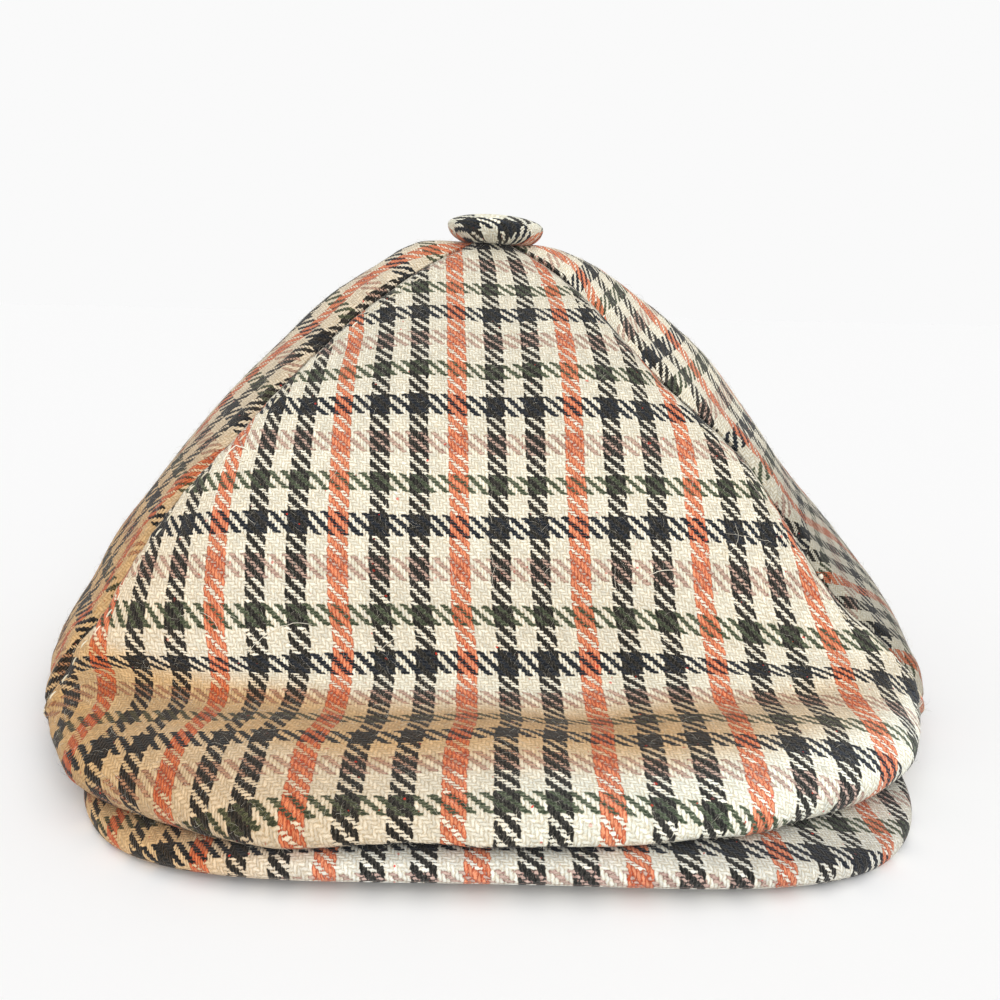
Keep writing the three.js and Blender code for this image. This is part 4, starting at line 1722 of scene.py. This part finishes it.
class Crown:
    """The five panels, their stitches and their nap."""

    def __init__(self, finishes: Finishes, rng: Random) -> None:
        """Plan the panels.

        Args:
            finishes: The cap's materials.
            rng: Random numbers.
        """
        self.finishes = finishes
        self.rng = rng
        self.form = CrownForm()
        self.panels = [
            Panel("front_panel", LEFT_SEAM, RIGHT_SEAM, Grain.FRONT, 210, flat=(0.28, 0.25),
                  area=0.0465),
            Panel("right_side_panel", RIGHT_SEAM, BACK_RIGHT_SEAM, Grain.RIGHT, 110,
                  flat=(0.13, 0.24), area=0.0185),
            Panel("back_right_panel", BACK_RIGHT_SEAM, BACK_SEAM, Grain.CENTRE, 96,
                  flat=(0.16, 0.25), area=0.0215),
            Panel("back_left_panel", BACK_SEAM, BACK_LEFT_SEAM, Grain.CENTRE, 96,
                  flat=(0.16, 0.25), area=0.0215),
            Panel("left_side_panel", BACK_LEFT_SEAM, LEFT_SEAM, Grain.LEFT, 110, turn=14,
                  flat=(0.13, 0.24), area=0.0185),
        ]

    def build(self) -> None:
        """Make and dress every piece of the crown."""
        grains = GrainMap(self.form)
        for panel in self.panels:
            panel.build(self.form, grains, self.rng)
        front, *others = self.panels
        stitches = []
        for name, at_last in (("topstitch_left", False), ("topstitch_right", True)):
            row = Topstitch(name).build(front, at_last, self.rng)
            stitches.append(self._dress_trim(row, self.finishes.thread))
        nap = self._dress_trim(Nap("front_nap", 9000).build([front], self.rng), self.finishes.nap)
        side_nap = self._dress_trim(Nap("side_nap", 9000).build(others, self.rng), self.finishes.nap)
        lint = self._dress_trim(Lint().build(front, self.rng), self.finishes.nap)
        front.dress(self.finishes, [*stitches, nap, lint])
        others[0].dress(self.finishes, [side_nap])
        for panel in others[1:]:
            panel.dress(self.finishes, [])

    def _dress_trim(self, thing: Thing, material: bpy.types.Material) -> Thing:
        """Dress stitches or fibres.

        Args:
            thing: The piece.
            material: Its finish.

        Returns:
            The piece.
        """
        thing.data.materials.append(material)
        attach(thing, BODY)
        tell(thing)
        return thing


# ---- peak, band and button ----


@dataclass
class Peak:
    """The stiff peak in its cloth cover."""

    name: str = "peak"
    middle: float = 11.8        # midway between two orange stripes
    repeat: float = 29.3        # from one to the next, there
    bend: float = 9.6e-7        # how they close up to the sides, where the peak curves down
    front_y: float = -134.5
    front_row: float = 0.27     # which row of the check lies there
    edge_radius: float = 2.25
    painted_light_colour: tuple = (0.97, 1.0, 1.07)     # the colour of the painted light from the floor on it
    warm: float = 1.05          # how much painted warm bounce light its left has
    warm_x: tuple = (-20, -65)
    grey: float = 0.3           # and how much painted shade greys its right
    grey_x: tuple = (15, 75)

    def build(self, finishes: Finishes) -> Thing:
        """Shape the peak from its own frame solid and cover it in tweed.

        Args:
            finishes: The cap's materials.

        Returns:
            The peak.
        """
        deselect()
        source = frame["nodes"][self.name]
        thing = source.copy()
        thing.data = source.data.copy()
        thing.name = "peak_cover"
        bpy.context.scene.collection.objects.link(thing)
        thing.select_set(True)
        bpy.context.view_layer.objects.active = thing
        bpy.ops.object.parent_clear(type="CLEAR_KEEP_TRANSFORM")
        for key in list(thing.keys()):
            del thing[key]
        with editing():
            bpy.ops.mesh.remove_doubles(threshold=0.02 * MM)
            bpy.ops.mesh.customdata_custom_splitnormals_clear()
            bpy.ops.mesh.tris_convert_to_quads()
            bpy.ops.mesh.normals_make_consistent(inside=False)
        apply_modifier(thing, "SUBSURF", levels=2, render_levels=2)
        bpy.ops.object.shade_smooth()
        points = mesh_points(thing)
        set_weave(thing.data, self._weave(thing, points))
        # painted light and shade: warm bounce on the left, grey shade on the right, cool floor light all
        # over
        warm = self.warm * smoothstep(*self.warm_x, points[:, 0])
        grey = self.grey * smoothstep(*self.grey_x, points[:, 0])
        set_tint(thing.data, painted_light_tint(warm, grey) * np.array(self.painted_light_colour))
        thing.data.materials.clear()
        thing.data.materials.append(finishes.tweed)
        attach(thing, BODY)
        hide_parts(self.name)
        tell(thing)
        return thing

    def _weave(self, thing: Thing, points: Array) -> Array:
        """Grain map of the peak: straight rows across its top, turned down over its edge.

        Args:
            thing: The peak.
            points: Its points.

        Returns:
            Threads across and down at each point.
        """
        normal = np.zeros(len(points) * 3)
        thing.data.vertex_normals.foreach_get("vector", normal)
        normal = normal.reshape(-1, 3)
        turn = np.arccos(np.clip(normal[:, 2], -1, 1))
        plan = normal[:, :2] / np.maximum(np.linalg.norm(normal[:, :2], axis=1, keepdims=True), 1e-6)
        spare = self.edge_radius * (turn - np.sin(turn))
        flat = points[:, :2] + plan * np.where(normal[:, 2] > -0.5, spare, 0.0)[:, None]
        aside = flat[:, 0] - self.middle
        count = 0.5 + aside / self.repeat + self.bend * aside ** 3
        down = self.front_row - (flat[:, 1] - self.front_y) / WEFT_REPEAT
        return np.stack([warp_at(count), weft_at(down)], -1)


@dataclass
class Button:
    """The cloth-covered button."""

    name: str = "button"
    folds: int = 21
    sunk: float = 0.35          # how far it is drawn down into the crown's top
    aside: float = 1.35
    squash: float = 0.82        # how flat it is pressed
    upper_power: float = 2.7    # how square the dome and the underside are
    lower_power: float = 4.5
    cover: float = 0.54         # the cloth drawn from the middle of the top to the rim
    tilt: float = -0.045        # how it leans to one side
    painted_light_colour: tuple = (1.08, 1.13, 1.16)    # the colour of the painted light on it
    gather: float = 0.6         # how much cloth there is below the rim, next to above it
    neck: float = 1.2           # how far its gathered underside reaches down to the crown
    neck_span: tuple = (1.0, 0.62)      # from the rim in
    fold_depth: float = 0.045
    waist: float = 0.05         # how much narrower it is below
    flatten: float = 0.18       # how its top is flattened towards the rim
    under_span: tuple = (0.1, -0.9)
    shade: float = 0.25         # how much painted shade darkens it below
    shade_span: tuple = (0.2, -0.7)
    turned: float = 0.15
    row: float = -0.33          # which row of the check lies on its middle

    def build(self, finishes: Finishes) -> Thing:
        """Shape the button and cover it.

        Args:
            finishes: The cap's materials.

        Returns:
            The button.
        """
        low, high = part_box(self.name)
        radius = (high.x - low.x) / 2
        deselect()
        low = low - Vector((0, 0, self.sunk * MM))
        centre = (low + high) / 2 + Vector((self.aside * MM, 0, 0))
        bpy.ops.mesh.primitive_uv_sphere_add(segments=72, ring_count=36, radius=radius, location=centre)
        thing = bpy.context.object
        thing.name = "button_cover"
        stretch((1, 1, (high.z - low.z) / (2 * radius)), centre)
        points = mesh_points(thing)
        half = np.array(high - low) / MM / 2
        shaped, weave = self._shape(points, np.array(centre) / MM, half)
        move_points(thing, shaped)
        set_weave(thing.data, weave)
        # painted shade below, under painted cool light
        grey = self.shade * smoothstep(*self.shade_span, (points[:, 2] - centre.z / MM) / half[2])
        set_tint(thing.data, painted_light_tint(0.0, grey) * np.array(self.painted_light_colour))
        bpy.ops.object.shade_smooth()
        apply_modifier(thing, "SUBSURF", levels=1, render_levels=1)
        thing.data.materials.append(finishes.tweed)
        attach(thing, BODY)
        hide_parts(self.name)
        tell(thing)
        return thing

    def _shape(self, points: Array, centre: Array, half: Array) -> tuple:
        """Turn a squashed ball into a covered button.

        Args:
            points: The ball's points.
            centre: The button's middle.
            half: Half its size.

        Returns:
            The shaped points, and the grain map of each.
        """
        local = (points - centre) / half
        flat = np.hypot(local[:, 0], local[:, 1])
        angle = np.arctan2(local[:, 1], local[:, 0])
        tilt = np.arctan2(local[:, 2], flat)
        power = np.where(local[:, 2] > 0, self.upper_power, self.lower_power)
        squarer = (np.abs(np.cos(tilt)) ** power + np.abs(np.sin(tilt)) ** power) ** (-1 / power)
        size = np.maximum(np.hypot(flat, local[:, 2]), 1e-9)
        out = flat / size * squarer
        rise = local[:, 2] / size * squarer
        under = smoothstep(*self.under_span, rise)
        wave = 0.5 + 0.5 * np.cos(self.folds * angle)
        fold = 1 - self.fold_depth * under * wave * np.minimum(1, out * 2)
        out = out * fold * (1 - self.waist * under)
        rise = rise * np.where(rise > 0, 1 - self.flatten * np.minimum(1, out) ** 2, 1.0)
        shaped = np.stack([out * np.cos(angle) * half[0], out * np.sin(angle) * half[1],
                           rise * half[2] * self.squash], -1) + centre
        drawn = np.where(tilt > 0, tilt, tilt * self.gather)
        from_top = (np.pi / 2 - drawn) * half[0] * self.cover
        weave = np.stack([warp_at(0.5 + from_top * np.cos(angle + self.turned) / WARP_REPEAT),
                          weft_at(self.row - from_top * np.sin(angle + self.turned) / WEFT_REPEAT)], -1)
        shaped[:, 2] += self.tilt * (shaped[:, 0] - centre[0])
        shaped[:, 2] -= np.where(rise < 0, self.neck * smoothstep(*self.neck_span, out), 0.0)
        return shaped, weave


@dataclass
class HeadBand:
    """The cloth band round the head opening."""

    name: str = "head_band"
    thickness: float = 2.0
    edge: float = 0.5               # how far its edges are rounded
    lean: float = 4.0               # how far its upper edge leans in
    flat: tuple = (0.575, 0.03)

    def build(self, finishes: Finishes) -> Thing:
        """Shape the band.

        Args:
            finishes: The cap's materials.

        Returns:
            The band.
        """
        low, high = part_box(self.name)
        centre = (low + high) / 2
        deselect()
        bpy.ops.mesh.primitive_cylinder_add(vertices=168, radius=1.0, depth=1.0, end_fill_type="NOTHING",
                                            location=centre)
        thing = bpy.context.object
        thing.name = "band_cloth"
        size = high - low
        stretch((size.x / 2, size.y / 2, size.z), centre)
        middle = np.array(centre) / MM
        points = mesh_points(thing)
        upper = points[:, 2] > middle[2]
        half = np.array(size) / MM / 2
        shrink = 1 - np.where(upper, self.lean, 0)[:, None] / half[None, :2]
        points[:, :2] = middle[:2] + (points[:, :2] - middle[:2]) * shrink
        move_points(thing, points)
        with editing():
            bpy.ops.mesh.normals_make_consistent(inside=False)
        apply_modifier(thing, "SOLIDIFY", thickness=self.thickness * MM, offset=-1.0)
        apply_modifier(thing, "BEVEL", width=self.edge * MM, segments=3, angle_limit=math.radians(50))
        bpy.ops.object.shade_smooth_by_angle(angle=math.radians(40))
        points = mesh_points(thing)
        angle = np.arctan2(points[:, 0] - middle[0], -(points[:, 1] - middle[1]))
        around = angle * (half[0] + half[1]) / 2
        set_weave(thing.data, np.stack([around, points[:, 2]], -1))
        thing.data.materials.append(finishes.band)
        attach(thing, BODY)
        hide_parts(self.name)
        tell(thing)
        return thing


# ---- stage ----


@dataclass
class Stage:
    """A white floor, soft daylight and the camera."""

    floor_size: float = 40.0
    eye: tuple = (-4.92, -275.64, 104.05)   # mm
    pitch: float = 11.93                    # degrees below level
    yaw: float = 1.91                       # towards +X
    roll: float = 1.28
    focal: float = 32.4
    sensor: float = 36.0
    sky: float = 0.5
    key: float = 1.65                       # from the front and above
    key_turn: tuple = (58, 0, 10)           # degrees
    key_spread: float = 60.0
    top: float = 0.8
    top_turn: tuple = (15, 8, 0)
    top_spread: float = 80.0
    back: float = 0.955                     # what the camera sees beyond the floor

    def build(self, finishes: Finishes) -> None:
        """Make the floor, the lights and the camera."""
        self._floor(finishes)
        self._world()
        self._sun("key_light", self.key_turn, self.key, self.key_spread)
        self._sun("top_light", self.top_turn, self.top, self.top_spread)
        self._camera()

    def _floor(self, finishes: Finishes) -> None:
        """Lay the floor."""
        deselect()
        bpy.ops.mesh.primitive_plane_add(size=self.floor_size, location=(0, 0, 0))
        floor = bpy.context.object
        floor.name = "floor"
        floor.data.materials.append(finishes.floor)

    def _world(self) -> None:
        """Give the room its even light, and a white background to the camera."""
        bench = Bench(bpy.data.worlds.new("daylight"))
        bpy.context.scene.world = bench.owner
        seen = bench.node("ShaderNodeLightPath").outputs["Is Camera Ray"]
        level = bench.wire("ShaderNodeMapRange", None,
                           {"Value": seen, "To Min": self.sky, "To Max": self.back})
        light = bench.node("ShaderNodeBackground", None, {"Color": (1, 1, 1, 1), "Strength": level})
        bench.node("ShaderNodeOutputWorld", None, {"Surface": light.outputs[0]})

    def _sun(self, name: str, turn: tuple, strength: float, spread: float) -> None:
        """Add a broad, soft sun.

        Args:
            name: The light's name.
            turn: Its rotation, in degrees.
            strength: Its strength.
            spread: How broad it is, in degrees.
        """
        light = bpy.data.lights.new(name, "SUN")
        light.energy = strength
        light.angle = math.radians(spread)
        add_object(name, light).rotation_euler = [math.radians(part) for part in turn]

    def _camera(self) -> None:
        """Set the camera before the cap, low and close."""
        down, side, tilt = (math.radians(v) for v in (self.pitch, self.yaw, self.roll))
        ahead = Vector((math.sin(side) * math.cos(down), math.cos(side) * math.cos(down), -math.sin(down)))
        right = Vector((math.cos(side), -math.sin(side), 0))
        up = right.cross(ahead)
        axis_x = right * math.cos(tilt) + up * math.sin(tilt)
        axis_y = up * math.cos(tilt) - right * math.sin(tilt)
        turn = Matrix((axis_x, axis_y, -ahead)).transposed()
        data = bpy.data.cameras.new("camera")
        data.lens = self.focal
        data.sensor_width = self.sensor
        data.clip_start = 0.01
        data.clip_end = 50.0
        camera = add_object("camera", data)
        camera.matrix_world = Matrix.Translation(Vector(self.eye) * MM) @ turn.to_4x4()
        bpy.context.scene.camera = camera
        bpy.context.scene.view_settings.view_transform = "Standard"


def main() -> None:
    """Build the cap and its stage, and log the faces of each piece."""
    logging.basicConfig(level=logging.INFO, format="%(name)s %(message)s")
    rng = np.random.default_rng(SEED)
    finishes = Finishes()
    Stage().build(finishes)
    Crown(finishes, rng).build()
    Peak().build(finishes)
    Button().build(finishes)
    HeadBand().build(finishes)


if __name__ == "__main__":
    main()
